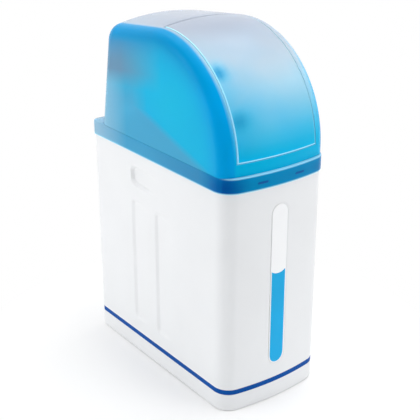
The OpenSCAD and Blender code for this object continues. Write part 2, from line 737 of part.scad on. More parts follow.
module valve_body() color(black_plastic) difference() {
    union() {
        at_tank(neck_z - spigot_h) cylinder(r = neck_r - tank_t - spigot_gap, h = spigot_h + melt);
        at_tank(neck_z) cylinder(r = neck_r + 10, h = collar_h);
        at_tank(neck_z + collar_h - melt) cylinder(r = valve_r, h = valve_h - collar_h + melt);
        at_tank(valve_top - 9) cylinder(r = valve_r + 10, h = 9);
        at_tank(neck_z) for (a = [0:30:330]) rotate(a)
            translate([neck_r + 10, 0, 0]) cylinder(r = 3, h = collar_h);
        translate([-port_x - port_r, tank_y + valve_r * 0.4, port_z - port_r])
            cube([port_pitch + 2 * port_r, valve_r * 0.9, 2 * port_r]);
        port_tubes(port_r, tank_y + valve_r, manifold_end);
        at_tank(drain_z) rotate([-90, 0, 0]) cylinder(r = drain_r + 5, h = valve_r + 20);
        at_tank(brine_z) rotate([0, 90, 0]) cylinder(r = line_r + 5, h = valve_r + brine_out);
    }
    at_tank(neck_z - spigot_h - past) cylinder(r = riser_r + 0.3, h = spigot_h + 22);
    at_tank(neck_z - seal_wire - 0.1) difference() {
        cylinder(r = neck_r - tank_t - spigot_gap + past, h = 2 * seal_wire + 0.2);
        cylinder(r = neck_r - tank_t - spigot_gap - 2 * seal_wire, h = 2 * seal_wire + 0.2);
    }
    at_tank(chamber_z) cylinder(r = rotor_r + 0.5, h = chamber_h);
    at_tank(chamber_z) cylinder(r = spindle_r + run_gap, h = valve_h);
    port_tubes(port_r - 5, tank_y + valve_r, manifold_end + past);
}

module neck_seal() color(black_plastic)
    at_tank(neck_z - 0.1) ring(neck_r - tank_t - spigot_gap - seal_wire, seal_wire - 0.05);

gear_r = gear_m * gear_n / 2;
pinion_r = gear_m * pinion_n / 2;
drive_z = valve_top + base_t + 4;
drive_x = gear_r + pinion_r;

rotor_gap = 1;
spindle_over = 6;
module valve_rotor() color(mid_grey) at_tank() {
    translate([0, 0, chamber_z + rotor_gap]) cylinder(r = rotor_r, h = chamber_h - 2 * rotor_gap);
    translate([0, 0, chamber_z + 2 * rotor_gap])
        cylinder(r = spindle_r, h = drive_z + gear_t + spindle_over - chamber_z - 2 * rotor_gap);
}

// Involute teeth, in one polygon
function involute(r, a) = r * [cos(a) + a * PI / 180 * sin(a), sin(a) - a * PI / 180 * cos(a)];
function spin(p, a) = [p[0] * cos(a) - p[1] * sin(a), p[0] * sin(a) + p[1] * cos(a)];
module gear_outline(n) {
    pressure = 20;
    pitch = gear_m * n / 2;
    base = pitch * cos(pressure);
    tip = pitch + 0.85 * gear_m;
    root = pitch - 1.2 * gear_m;
    function roll(r) = r <= base ? 0 : sqrt((r / base) ^ 2 - 1) * 180 / PI;
    function polar(p) = atan2(p[1], p[0]);
    half = 90 / n - backlash / 2 / pitch * 90 / PI + polar(involute(base, roll(pitch)));
    start = max(base, root);
    flank = [for (k = [0:3]) involute(base, roll(start + (tip - start) * k / 3))];
    polygon([for (t = [0:n - 1]) each concat(
        [spin([root, 0], t * 360 / n - half)],
        [for (p = flank) spin(p, t * 360 / n - half)],
        [for (k = [3:-1:0]) spin([flank[k][0], -flank[k][1]], t * 360 / n + half)],
        [spin([root, 0], t * 360 / n + half)])]);
}

module drive_gear() color("ivory") at_tank(drive_z) difference() {
    union() {
        linear_extrude(gear_t) gear_outline(gear_n);
        cylinder(r = spindle_r + 5, h = gear_t + 6);
    }
    translate([0, 0, -past]) cylinder(r = spindle_r, h = gear_t + 8);
    for (a = [0:60:300]) rotate(a)
        translate([gear_r * 0.6, 0, -past]) cylinder(r = gear_r * 0.18, h = gear_t + 2 * past);
}

shaft_r = 2.5;
mount_z = drive_z + gear_t + 3;
mount_t = 3;
module at_motor(z = 0) translate([drive_x, tank_y, z]) children();

module motor_pinion() color("ivory") at_motor(drive_z) {
    rotate(180 + 180 / pinion_n) linear_extrude(gear_t) gear_outline(pinion_n);
    cylinder(r = shaft_r, h = mount_z + mount_t + 4 - drive_z);
}

module drive_motor() color(steel) at_motor(mount_z + mount_t) difference() {
    union() {
        cylinder(r = motor_r, h = motor_h);
        translate([0, 0, motor_h - melt]) cylinder(r = motor_r * 0.5, h = 4);
        for (side = [-1, 1]) translate([-4, side * motor_r - 4, 0]) cube([8, 8, 2]);
    }
    translate([0, 0, -past]) cylinder(r = shaft_r + run_gap, h = 6 + past);
}

post_x = drive_x + pinion_r + gear_m + 6;
module motor_mount() color(mid_grey) difference() {
    union() {
        translate([drive_x - motor_r, tank_y - motor_r - 6, mount_z])
            cube([post_x + 4 - drive_x + motor_r, 2 * motor_r + 12, mount_t]);
        for (side = [-1, 1]) translate([post_x, tank_y + side * (motor_r + 1), valve_top + base_t])
            cylinder(r = 4, h = mount_z + melt - valve_top - base_t);
    }
    at_motor(mount_z - past) cylinder(r = shaft_r + run_gap, h = mount_t + 2 * past);
}

// The control head
head_z = valve_top;
head_front = tank_y - head_d / 2;
head_rear = tank_y + head_d / 2;
head_top = hood_top(head_w / 2, head_rear) - hood_t - head_gap;
panel_foot = [head_front, head_z + base_t + 14];
panel_l = (head_top - panel_foot[1] - 16) / cos(panel_tilt);
panel_head = panel_foot + panel_l * [sin(panel_tilt), cos(panel_tilt)];
head_corner = 8;
head_outline = [[head_front, head_z + base_t], [head_rear, head_z + base_t], [head_rear - 4, head_top],
    [panel_head[0] + 12, head_top], panel_head, panel_foot];

// Places on the front panel: x across, v up the panel from its foot, w out of it
module on_panel(v, w) translate([0, panel_foot[0], panel_foot[1]]) rotate([90 - panel_tilt, 0, 0])
    translate([0, v, w]) children();
window_v = panel_l - window_h / 2 - 10;
button_v = window_v - window_h / 2 - 10 - button_h / 2;
button_x = [for (k = [0:3]) (k - 1.5) * button_pitch];
screw_in = 10;
screw_x = head_w / 2 - screw_in;
screw_y = head_d / 2 - screw_in;
screw_r = 2;
screw_head = 2.4;
screw_l = 12;
board_w = 120;
board_t = 1.6;
board_back = head_t + 7;
standoff_r = 3;

module head_corners() for (sx = [-1, 1]) for (sy = [-1, 1])
    translate([sx * screw_x, tank_y + sy * screw_y, 0]) children();

module head_base() color(dark_grey) difference() {
    translate([0, tank_y, head_z]) linear_extrude(base_t)
        polygon(round_rect(-head_w / 2, head_w / 2, -head_d / 2, head_d / 2, 6));
    at_tank(head_z - past) cylinder(r = spindle_r + 1, h = base_t + 2 * past);
    head_corners() translate([0, 0, head_z - past]) cylinder(r = screw_r + 0.1, h = base_t + 2 * past);
}

module head_cover() color(dark_grey) difference() {
    union() {
        difference() {
            along_x(-head_w / 2, head_w / 2) polygon(fillet(head_outline, head_corner));
            along_x(-head_w / 2 + head_t, head_w / 2 - head_t)
                polygon([for (k = [0:5]) let (p = inset(head_outline, head_t)[k])
                    k < 2 ? [p[0], head_z] : p]);
        }
        head_corners() translate([0, 0, head_z + base_t]) cylinder(r = screw_in - head_t + melt, h = 24);
        for (sx = [-1, 1]) on_panel(window_v, -board_back) translate([sx * (board_w / 2 - 5), 0, 0])
            cylinder(r = standoff_r, h = board_back - head_t / 2);
    }
    on_panel(window_v, -head_t - past) linear_extrude(head_t + 2 * past)
        polygon(round_rect(-window_w / 2, window_w / 2, -window_h / 2, window_h / 2, 3));
    on_panel(button_v, -head_t - past) for (x = button_x) translate([x, 0, 0])
        linear_extrude(head_t + 2 * past)
        polygon(round_rect(-button_w / 2, button_w / 2, -button_h / 2, button_h / 2, 2.5));
    head_corners() translate([0, 0, head_z]) cylinder(r = screw_r + 0.05, h = base_t + screw_l + 4);
    translate([inlet_x, head_rear - head_t - 4, inlet_z]) rotate([-90, 0, 0])
        cylinder(r = inlet_r + 0.1, h = 12);
}

// The window sits a little below the panel's face
window_gap = 0.15;
module display_window() color([0.1, 0.14, 0.16]) on_panel(window_v, -head_t) linear_extrude(head_t - 0.3)
    polygon(inset(round_rect(-window_w / 2, window_w / 2, -window_h / 2, window_h / 2, 3), window_gap));

switch_h = board_back - head_t - 1.5 - button_travel - 0.2;
module circuit_board() color(board_green) {
    on_panel(0, -board_back - board_t) linear_extrude(board_t)
        polygon(round_rect(-board_w / 2, board_w / 2, button_v - 8, window_v + window_h / 2, 2));
    on_panel(button_v, -board_back - 0.2) for (x = button_x)
        translate([x - 3, -3, 0]) cube([6, 6, switch_h + 0.2]);
}

// A push button with a flange that keeps it behind the panel
module button(k) color(mid_grey) on_panel(button_v, -head_t - 1.5) translate([button_x[k], 0, 0]) {
    linear_extrude(head_t + 1.5 + button_travel + 0.8) polygon(round_rect(-button_w / 2 + button_gap,
        button_w / 2 - button_gap, -button_h / 2 + button_gap, button_h / 2 - button_gap, 2.2));
    linear_extrude(1.3)
        polygon(round_rect(-button_w / 2 - 1, button_w / 2 + 1, -button_h / 2 - 1, button_h / 2 + 1, 2));
}
module button_left() button(0);
module button_up() button(1);
module button_down() button(2);
module button_right() button(3);

inlet_x = -head_w / 2 + 34;
inlet_z = head_z + base_t + 16;
inlet_r = 6;
plug_r = 2.75;
module power_inlet() color(black_plastic)
    translate([inlet_x, head_rear - head_t - 8, inlet_z]) rotate([-90, 0, 0]) {
    difference() {
        union() {
            cylinder(r = inlet_r, h = 9);
            cylinder(r = inlet_r + 2, h = 7);
        }
        translate([0, 0, 2]) cylinder(r = plug_r, h = 10);
    }
    translate([0, 0, 1]) cylinder(r = 1, h = 7);
}

module head_screws() color(steel) head_corners() {
    translate([0, 0, head_z - screw_head]) cylinder(r = 1.8 * screw_r, h = screw_head);
    translate([0, 0, head_z - screw_head / 2]) cylinder(r = screw_r, h = screw_head / 2 + base_t + screw_l);
}

// The brine well stands in the corner between the tank and the right-hand wall
well_x = inner_x - grip_d - well_gap - well_r;
well_y = tank_y - sqrt((tank_r + 5 + well_r + well_gap) ^ 2 - well_x ^ 2);
well_top = rim_z + well_rise;
module at_well(z = 0) translate([well_x, well_y, z]) children();
hang_z = brine_z;
rod_x = 14;
pickup_x = -19;

module brine_well() color("white") at_well(floor_z) difference() {
    tube(well_r, well_r - well_t, well_top - floor_z);
    for (a = [0:45:315]) for (z = [12, 30, 48])
        rotate(a) translate([0, -1.5, z]) cube([well_r + past, 3, 12]);
    translate([0, 0, hang_z - floor_z]) rotate([-90, 0, 0]) cylinder(r = line_r + 2.2, h = well_r + past);
}

cap_gap = 0.3;
cap_t = 2.5;
cap_skirt = 12;
module well_cap() color(navy) at_well(well_top - cap_skirt) difference() {
    union() {
        cylinder(r = well_r + cap_gap + cap_t, h = cap_skirt + cap_t);
        translate([0, 0, cap_skirt]) cylinder(r = 10, h = cap_t + 8);
    }
    translate([0, 0, -past]) cylinder(r = well_r + cap_gap, h = cap_skirt + past);
}

// The safety valve hangs on the well's wall by its outlet, and the float rod slides in it
valve_block_h = 24;
module brine_valve() color(black_plastic) at_well(hang_z) difference() {
    union() {
        translate([pickup_x - 9, -9, -valve_block_h / 2]) cube([rod_x - pickup_x + 18, 18, valve_block_h]);
        rotate([-90, 0, 0]) cylinder(r = line_r + 2, h = well_r + 14);
    }
    translate([rod_x, 0, -valve_block_h]) cylinder(r = rod_r + run_gap, h = 2 * valve_block_h);
    translate([pickup_x, 0, -valve_block_h]) cylinder(r = pickup_r, h = valve_block_h + 4);
    translate([0, 12, 0]) rotate([-90, 0, 0]) cylinder(r = line_r + 0.1, h = well_r + 14);
}

float_z = platform_z + 60;
module float_rod() color("white") at_well() translate([rod_x, 0, 0]) {
    translate([0, 0, float_z - 20]) cylinder(r = rod_r, h = hang_z + valve_block_h / 2 + 4 - float_z + 20);
    translate([0, 0, hang_z + valve_block_h / 2 + 0.2]) cylinder(r = rod_r + 2, h = 4);
    translate([0, 0, hang_z - valve_block_h / 2 - float_travel - 4.2]) cylinder(r = rod_r + 2, h = 4);
    translate([0, 0, float_z - 3]) cylinder(r = rod_r + 2, h = 3);
}

module brine_float() color("orange") at_well(float_z) translate([rod_x, 0, 0]) difference() {
    rotate_extrude() polygon(concat([[0, 0]], arc([float_r - 5, 5], 5, 270, 360, 4),
        arc([float_r - 5, float_h - 5], 5, 0, 90, 4), [[0, float_h]]));
    translate([0, 0, -past]) cylinder(r = rod_r, h = float_h + 2 * past);
}

check_h = 46;
check_r = 12;
module pickup_tube() color("white") at_well(floor_z + check_h - 6) translate([pickup_x, 0, 0])
    tube(pickup_r, pickup_r - 1.5, hang_z + 4 - floor_z - check_h + 6);

module air_check() color(mid_grey) at_well(floor_z) translate([pickup_x, 0, 0]) difference() {
    union() {
        cylinder(r = check_r, h = check_h - 10);
        cylinder(r = pickup_r + 2, h = check_h);
    }
    translate([0, 0, 4]) cylinder(r = check_r - 2.5, h = check_h - 18);
    translate([0, 0, check_h - 20]) cylinder(r = pickup_r, h = 21);
    for (a = [0:60:300]) rotate(a) translate([0, -1.5, 5]) cube([check_r + past, 3, 12]);
}

// The brine line runs from the valve's elbow to the safety valve
elbow_x = valve_r + brine_out + line_r + 4;
elbow_y = tank_y - line_r - 8;
module brine_elbow() color(mid_grey) difference() {
    union() {
        at_tank(brine_z) translate([valve_r + brine_out, 0, 0]) rotate([0, 90, 0])
            cylinder(r = line_r + 4, h = line_r + 8);
        translate([elbow_x, elbow_y, brine_z]) rotate([-90, 0, 0]) cylinder(r = line_r + 3, h = line_r + 8);
    }
    translate([elbow_x, elbow_y - past, brine_z]) rotate([-90, 0, 0])
        cylinder(r = line_r + 0.1, h = 8 + past);
}

line_from = [elbow_x, elbow_y + 6, brine_z];
line_to = [well_x, well_y + well_r + 1, brine_z];
line_rings = 16;
module brine_line() color([0.85, 0.87, 0.9]) swept([for (k = [0:line_rings]) let (
    s = k / line_rings, e = s < 0.15 ? 0 : s > 0.85 ? 1 : (1 - cos((s - 0.15) / 0.7 * 180)) / 2)
    [line_from[0] + (line_to[0] - line_from[0]) * e,
        line_from[1] + (line_to[1] - line_from[1]) * s, brine_z]],
    line_r, 12);

// The salt platform fills the cabinet in front of the tank
platform_gap = 2;
platform_back = tank_y - 20;
leg_r = 7;
leg_x = inner_x - 30;
leg_y = -cabinet_d / 2 + 60;
legs = [[-leg_x, leg_y], [leg_x, leg_y], [-leg_x, -20], [0, -30]];
function clear_of(p, c, r) = norm(p - c) > r;
module salt_platform() color(mid_grey) {
    translate([0, 0, platform_z]) linear_extrude(platform_t) difference() {
        intersection() {
            polygon(plan(-cabinet_t - flute_d - platform_gap));
            translate([-cabinet_w, -cabinet_d]) square([2 * cabinet_w, cabinet_d + platform_back]);
        }
        translate([0, tank_y]) circle(r = tank_r + 5 + platform_gap, $fn = 96);
        translate([well_x, well_y]) circle(r = well_r + platform_gap / 2, $fn = 64);
        for (i = [-5:5]) for (j = [0:14]) let (p = [i * hole_pitch, -cabinet_d / 2 + 34 + j * hole_pitch])
            if (abs(p[0]) < inner_x - 20 && clear_of(p, [0, tank_y], tank_r + 16) && p[1] < tank_y - 40
                && clear_of(p, [well_x, well_y], well_r + 10)
                && min([for (l = legs) norm(p - l)]) > leg_r + hole_r + 1)
                translate(p) circle(r = hole_r, $fn = 16);
    }
    for (p = legs) translate([p[0], p[1], floor_z]) cylinder(r = leg_r, h = platform_z + melt - floor_z);
}

// The bypass block behind the hood, with one knob for each pipe
bypass_y0 = manifold_end;
bypass_y1 = bypass_y0 + bypass_l;
knob_y = bypass_y0 + bypass_l / 2 + 1;
knob_z = port_z + port_r + 4;
stem_r = 4;
module bypass_body() color(black_plastic) difference() {
    union() {
        port_tubes(port_r, bypass_y0, bypass_y1);
        port_tubes(port_r + 3, bypass_y0, bypass_y0 + 5);
        port_tubes(thread_r, bypass_y1 - melt, bypass_y1 + thread_l);
        translate([-port_x, knob_y, port_z]) rotate([0, 90, 0]) cylinder(r = 11, h = port_pitch);
        for (side = [-1, 1]) translate([side * port_x, knob_y, port_z]) cylinder(r = 9, h = port_r + 3.6);
    }
    port_tubes(thread_r - 3, bypass_y0 - past, bypass_y1 + thread_l + past);
    for (side = [-1, 1]) translate([side * port_x, knob_y, port_z + port_r - 6])
        cylinder(r = stem_r + run_gap, h = 20);
}

// A round knob with a raised grip bar
module knob(side) translate([side * port_x, knob_y, knob_z]) {
    cylinder(r = knob_r, h = 8);
    translate([-3, -knob_r + 2, 8 - melt]) cube([6, 2 * knob_r - 4, 8]);
    translate([0, 0, -8]) cylinder(r = stem_r, h = 8 + melt);
}
module inlet_knob() color(red_plastic) knob(-1);
module outlet_knob() color(red_plastic) knob(1);

drain_l = 46;
module drain_barb() color(mid_grey)
    at_tank(drain_z) translate([0, valve_r + 20, 0]) rotate([-90, 0, 0]) difference() {
    union() {
        cylinder(r = drain_r + 4, h = 8, $fn = 6);
        cylinder(r = drain_r, h = drain_l);
    }
    translate([0, 0, -past]) cylinder(r = drain_r - 2, h = drain_l + 2 * past);
}

// The overflow in the rear wall: an elbow outside, a seal, and a nut inside
spigot_r = overflow_r + 3.7;
seal_t = 2;
flare = 5;
nut_t = 9;
spigot_l = 16;
elbow_reach = 16;
elbow_drop = 38;
elbow_stub = 12;
outer_rear = cabinet_d / 2;
elbow_at = outer_rear + seal_t + elbow_reach;
module at_overflow(y) translate([overflow_x, y, overflow_z]) rotate([-90, 0, 0]) children();

module overflow_elbow() color(black_plastic) difference() {
    union() {
        at_overflow(inner_rear - spigot_l) cylinder(r = spigot_r, h = spigot_l + cabinet_t + seal_t + 1);
        at_overflow(outer_rear + seal_t) cylinder(r = spigot_r + flare, h = 4);
        at_overflow(outer_rear + seal_t) cylinder(r = overflow_r + 2, h = elbow_reach);
        translate([overflow_x, elbow_at, overflow_z]) sphere(r = overflow_r + 2);
        translate([overflow_x, elbow_at, overflow_z - elbow_stub]) cylinder(r = overflow_r + 2, h = elbow_stub);
        translate([overflow_x, elbow_at, overflow_z - elbow_drop]) cylinder(r = overflow_r, h = elbow_drop);
    }
    at_overflow(inner_rear - spigot_l - past)
        cylinder(r = overflow_r - 2, h = elbow_at - inner_rear + spigot_l + past);
    translate([overflow_x, elbow_at, overflow_z - elbow_drop - past])
        cylinder(r = overflow_r - 2, h = elbow_drop + past);
}

module overflow_nut() color(black_plastic) at_overflow(inner_rear - nut_t) difference() {
    cylinder(r = spigot_r + 6, h = nut_t, $fn = 6);
    translate([0, 0, -past]) cylinder(r = spigot_r, h = nut_t + 2 * past);
}

module overflow_seal() color(black_plastic) at_overflow(outer_rear)
    tube(spigot_r + flare, spigot_r, seal_t);

cabinet();
base_band();
label_plate();
label_inlay();
top_cover();
cover_catches();
salt_lid();
hinge_pins();
resin_tank();
tank_boot();
resin_bed();
riser_tube();
lower_basket();
upper_basket();
valve_body();
neck_seal();
valve_rotor();
drive_gear();
motor_pinion();
drive_motor();
motor_mount();
head_base();
head_cover();
display_window();
circuit_board();
button_left();
button_up();
button_down();
button_right();
power_inlet();
head_screws();
brine_well();
well_cap();
brine_valve();
float_rod();
brine_float();
pickup_tube();
air_check();
brine_elbow();
brine_line();
salt_platform();
bypass_body();
inlet_knob();
outlet_knob();
drain_barb();
overflow_elbow();
overflow_nut();
overflow_seal();
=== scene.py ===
# Cabinet water softener: the looks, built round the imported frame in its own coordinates.
import json
import math

import bmesh
import bpy
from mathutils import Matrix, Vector
from mathutils.geometry import tessellate_polygon


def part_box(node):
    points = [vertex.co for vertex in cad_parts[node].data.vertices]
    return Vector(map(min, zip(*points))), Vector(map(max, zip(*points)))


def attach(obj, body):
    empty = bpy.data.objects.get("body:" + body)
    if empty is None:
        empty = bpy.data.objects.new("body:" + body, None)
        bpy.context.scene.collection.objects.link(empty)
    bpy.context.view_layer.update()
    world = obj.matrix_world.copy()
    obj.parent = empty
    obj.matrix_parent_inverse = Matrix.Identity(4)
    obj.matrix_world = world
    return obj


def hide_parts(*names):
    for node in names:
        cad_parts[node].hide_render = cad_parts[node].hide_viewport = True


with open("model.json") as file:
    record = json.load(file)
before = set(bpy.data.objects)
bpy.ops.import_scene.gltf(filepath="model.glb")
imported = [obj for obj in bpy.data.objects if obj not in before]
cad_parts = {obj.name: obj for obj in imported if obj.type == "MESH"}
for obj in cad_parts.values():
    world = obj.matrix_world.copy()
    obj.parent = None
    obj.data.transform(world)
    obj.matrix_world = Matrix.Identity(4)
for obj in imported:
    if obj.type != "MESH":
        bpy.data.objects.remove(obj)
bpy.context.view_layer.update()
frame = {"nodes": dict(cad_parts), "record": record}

record = frame["record"]
scene = bpy.context.scene
MM = 0.001


def rad(a):
    return math.radians(a)


def smooth(t):
    t = min(max(t, 0.0), 1.0)
    return t * t * (3 - 2 * t)


def mirrored(values):
    """A row of values from minus the last one to the last one; the first is the middle."""
    return [-v for v in reversed(values[1:])] + list(values)


def polar(centre, r, a):
    return centre[0] + r * math.cos(rad(a)), centre[1] + r * math.sin(rad(a))


# Sizes that the frame gives, in millimetres
def span(node):
    """A node's lowest and highest corners at rest."""
    return [[round(c / MM, 2) for c in corner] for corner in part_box(node)]


def mount(name):
    """A mount's middle, radius and length."""
    found = next(m for m in record["mounts"] if m["name"] == name)
    return [c / MM for c in found["pos_m"]], found["dims"]["r_mm"], found["dims"]["length_mm"]


HALF_W, HALF_D, RIM = span("cabinet")[1]
BAND_Z0, BAND_Z1 = (corner[2] for corner in span("base_band"))
LABEL_Z0, LABEL_Z1 = (corner[2] for corner in span("label_plate"))
LABEL_R = span("label_plate")[1][0]
FLANGE_Z = span("top_cover")[0][2]
FLANGE_OUT = span("top_cover")[1][0] - HALF_W
CATCH_Z0, CATCH_Z1 = (corner[2] for corner in span("cover_catches"))
CATCH_END = span("cover_catches")[1][0]
BYPASS_Y = span("bypass_body")[0][1]
DRAIN_Y = span("drain_barb")[0][1]
KNOB_FOOT = span("outlet_knob")[0][2]
(PORT_X, PORT_Y, PORT_Z), THREAD_R, THREAD_L = mount("outlet_port")
(DRAIN_X, _, DRAIN_Z), DRAIN_R, _ = mount("drain_port")
(SPOUT_X, SPOUT_Y, SPOUT_Z), SPOUT_R, SPOUT_L = mount("overflow_port")

# Sizes of the cabinet, its band and its label
CAB_T, FLOOR_Z, FOOT_R = 4.0, 7.5, 5.0
BOW_R, CORNER_R, REAR_R = 560.0, 38.0, 12.0
TRIM_T, TRIM_GAP, GROOVE_SOFT = 1.2, 0.15, 0.3
GROOVE_GAP, RIM_SOFT, RIM_IN, FLOOR_SOFT = 0.1, 1.2, 0.8, 4.0
BAND_EDGE = ((-TRIM_T, 0.0), (-0.4, 0.0), (-0.05, 0.35), (0.0, 1.05))
INLAY_R, INLAY_TOP, INLAY_CAP_R, INLAY_RISE, INLAY_T = 17.7, 299.0, 30.0, 0.3, 0.6
SEAT_DEEP, SEAT_REACH, SEAT_SLOPE = 1.7, 3.2, 3.0

# Sizes of the cover: flange, ledge, hood and pipe notch
FLANGE_IN, FLANGE_LAP = 0.3, 1.0
LEDGE_Z0, LEDGE_Z1 = 520.2, 523.2
HOOD_BASE, HOOD_HALF, HOOD_FRONT, HOOD_REAR, HOOD_FOOT = 521.7, 131.0, -244.0, 230.0, 8.0
HOOD_R, AXIS_Y, AXIS_Z = 239.0, -5.0, 540.0
CROWN_R, EDGE_R, SIDE_SINK = 520.0, 28.0, 3.0
TOP_A, REAR_A, REAR_LEAN, REAR_TOP_R = 95.9, 170.0, 10.0, 52.0
NOTCH_HALF, NOTCH_Z, NOTCH_SLACK = 66.0, 597.0, 0.2
WALL, LIP_D, LIP_T = 3.0, 9.0, 2.5
CATCH_L, CATCH_PROUD, CATCH_SUNK, CATCH_BLUNT, CATCH_TIP = 25.0, 0.25, 0.4, 12, 0.15
CATCH_ROWS, CATCH_COLS = 6, 12

# Sizes of the lid's opening, its seam and its hinge
OPEN_HALF, OPEN_A1, SEAM, TOP_GAP = 100.5, 92.0, 1.5, 2.5
SOFT, SOFT_DROP, STEP, NEAR = 0.7, 0.35, 0.1, 1e-6
SILL_W, SILL_T, SILL_END, SILL_LAP, SILL_GAP, SILL_SOFT = 7.0, 3.0, 8.0, 1.0, 0.3, 0.5
HINGE_X, PIN_R, PIVOT_BACK, PIVOT_DROP = 62.0, 2.5, 32.5, 18.0
ARM_W, ARM_T, ARM_CLEAR, ARM_A, ARM_SINK = 12.0, 5.0, 1.0, 292, 1.6
ARM_ROOT, ARM_KNEE, ARM_STEP, ARM_FIT = 3.0, 20.0, 8, 0.05
EAR_T, EAR_GAP, EAR_FIT, EAR_TOP_N, EAR_ROUND_N, BOSS_R = 5.0, 0.5, 0.03, 12, 24, 7.0

# Sizes of the bypass knobs
KNOB_R, KNOB_Y, KNOB_STEM = 14.0, 245.0, 8.0


# Shader parts
def shader(name):
    mat = bpy.data.materials.new(name)
    mat.use_nodes = True
    tree = mat.node_tree
    tree.nodes.clear()
    out = tree.nodes.new("ShaderNodeOutputMaterial")
    bsdf = tree.nodes.new("ShaderNodeBsdfPrincipled")
    tree.links.new(bsdf.outputs[0], out.inputs[0])
    return mat, tree, bsdf


def feed(tree, value, socket):
    """Links a socket's value, or sets a plain one."""
    if isinstance(value, bpy.types.NodeSocket):
        tree.links.new(value, socket)
    else:
        socket.default_value = value


def place(tree):
    return tree.nodes.new("ShaderNodeTexCoord").outputs["Object"]


def axes(tree):
    parts = tree.nodes.new("ShaderNodeSeparateXYZ")
    tree.links.new(place(tree), parts.inputs[0])
    return parts.outputs


def noise(tree, scale, detail=2.0, stretch=None):
    n = tree.nodes.new("ShaderNodeTexNoise")
    n.inputs["Scale"].default_value = scale
    n.inputs["Detail"].default_value = detail
    where = place(tree)
    if stretch:
        m = tree.nodes.new("ShaderNodeMapping")
        m.inputs["Scale"].default_value = stretch
        tree.links.new(where, m.inputs["Vector"])
        where = m.outputs[0]
    tree.links.new(where, n.inputs["Vector"])
    return n.outputs[0]


def spread(tree, source, low, high, a=0.3, b=0.7):
    """Runs from low to high while source goes from a to b."""
    n = tree.nodes.new("ShaderNodeMapRange")
    n.inputs["From Min"].default_value = a
    n.inputs["From Max"].default_value = b
    n.inputs["To Min"].default_value = low
    n.inputs["To Max"].default_value = high
    tree.links.new(source, n.inputs["Value"])
    return n.outputs[0]


def ramp(tree, source, where, full=1.0):
    """Nothing at where's first place and full at its second, for a coordinate; where is in millimetres."""
    start, end = (w * MM for w in where)
    if start < end:
        return spread(tree, source, 0, full, start, end)
    return spread(tree, source, full, 0, end, start)


def maths(tree, operation, a, b=0.0):
    n = tree.nodes.new("ShaderNodeMath")
    n.operation = operation
    feed(tree, a, n.inputs[0])
    feed(tree, b, n.inputs[1])
    return n.outputs[0]


def times(tree, *factors):
    total = factors[0]
    for factor in factors[1:]:
        total = maths(tree, "MULTIPLY", total, factor)
    return total


def blend_colour(tree, factor, a, b):
    n = tree.nodes.new("ShaderNodeMix")
    n.data_type = "RGBA"
    tree.links.new(factor, n.inputs[0])
    for socket, value in ((n.inputs[6], a), (n.inputs[7], b)):
        feed(tree, (*value, 1) if isinstance(value, tuple) else value, socket)
    return n.outputs[2]


def attribute(tree, name):
    n = tree.nodes.new("ShaderNodeAttribute")
    n.attribute_name = name
    return n.outputs["Fac"]


def bump(tree, bsdf, height, strength, distance):
    n = tree.nodes.new("ShaderNodeBump")
    n.inputs["Strength"].default_value = strength
    n.inputs["Distance"].default_value = distance
    tree.links.new(height, n.inputs["Height"])
    tree.links.new(n.outputs[0], bsdf.inputs["Normal"])


def scaled(colour, k):
    return tuple(min(c * k, 1.0) for c in colour)


# Materials
DRIFT_SCALE, GLOSS_SCALE, GLOSS_VARIES, GRAIN_HEIGHT = 9, 35, 0.05, 0.0002


def plastic(name, colour, rough, vary, grain, depth, sheen=0.5, metal=0.0, stretch=None):
    """Moulded plastic or metal: broad colour drift, uneven gloss and a fine grain."""
    mat, tree, bsdf = shader(name)
    drift = spread(tree, noise(tree, DRIFT_SCALE, 3), 0, 1)
    tint = blend_colour(tree, drift, scaled(colour, 1 - vary), scaled(colour, 1 + vary))
    tree.links.new(tint, bsdf.inputs["Base Color"])
    gloss = spread(tree, noise(tree, GLOSS_SCALE), rough - GLOSS_VARIES, rough + GLOSS_VARIES)
    tree.links.new(gloss, bsdf.inputs["Roughness"])
    bsdf.inputs["Metallic"].default_value = metal
    bsdf.inputs["Specular IOR Level"].default_value = sheen
    bump(tree, bsdf, noise(tree, grain, 2, stretch), depth, GRAIN_HEIGHT)
    return mat


# Tones of the frosted plastic: its own clear blues, and painted shade, painted light, painted highlights
# and a painted glow
TINTS = {
    "clear": (0.0, 0.63, 1.0), "clear_light": (0.0, 0.70, 1.0), "low_rear_shade": (0.11, 0.51, 0.79),
    "rear": (0.52, 0.80, 0.95), "head": (0.22, 0.38, 0.56), "border_shade_low": (0.0, 0.50, 0.98),
    "border_shade_high": (0.0, 0.38, 0.74), "painted_highlight": (0.68, 0.84, 0.93), "roof": (0.48, 0.52, 0.61),
    "deep": (0.0, 0.11, 0.44), "pale": (0.50, 0.89, 1.0), "edge_light": (0.32, 0.72, 0.92),
    "gloss": (0.1, 0.6, 1.0),
}
# Where its painted shade and light start and are full, in millimetres; the low rear shade's line is two
# points of (y, z)
SHADE_LINE_LOW, SHADE_LINE_HIGH = (-205.0, 522.0), (30.0, 597.0)
SHADE_PAST, SHADE_TOP, SHADE_FULL = (-5.0, 50.0), (700.0, 600.0), 0.8
HEAD_FRONT, HEAD_REAR, HEAD_TILT = (-30.0, 120.0), (212.0, 185.0), 0.10
HEAD_LOW, HEAD_TOP, HEAD_WALL, HEAD_FULL = (640.0, 675.0), (755.0, 735.0), (118.0, 126.0), 0.85
BORDER_IN, BORDER_OUT, BORDER_RISE = (145.0, 212.0), (238.0, 231.0), (660.0, 760.0)
BORDER_LEFT, BORDER_RIGHT = (-100.5, -107.0), (112.0, 127.0)
REAR_LIGHT_RUN, REAR_LIGHT_TOP, REAR_LIGHT_FULL = (105.0, 225.0), (740.0, 660.0), 0.85
ROOF_RISE = (680.0, 772.0)


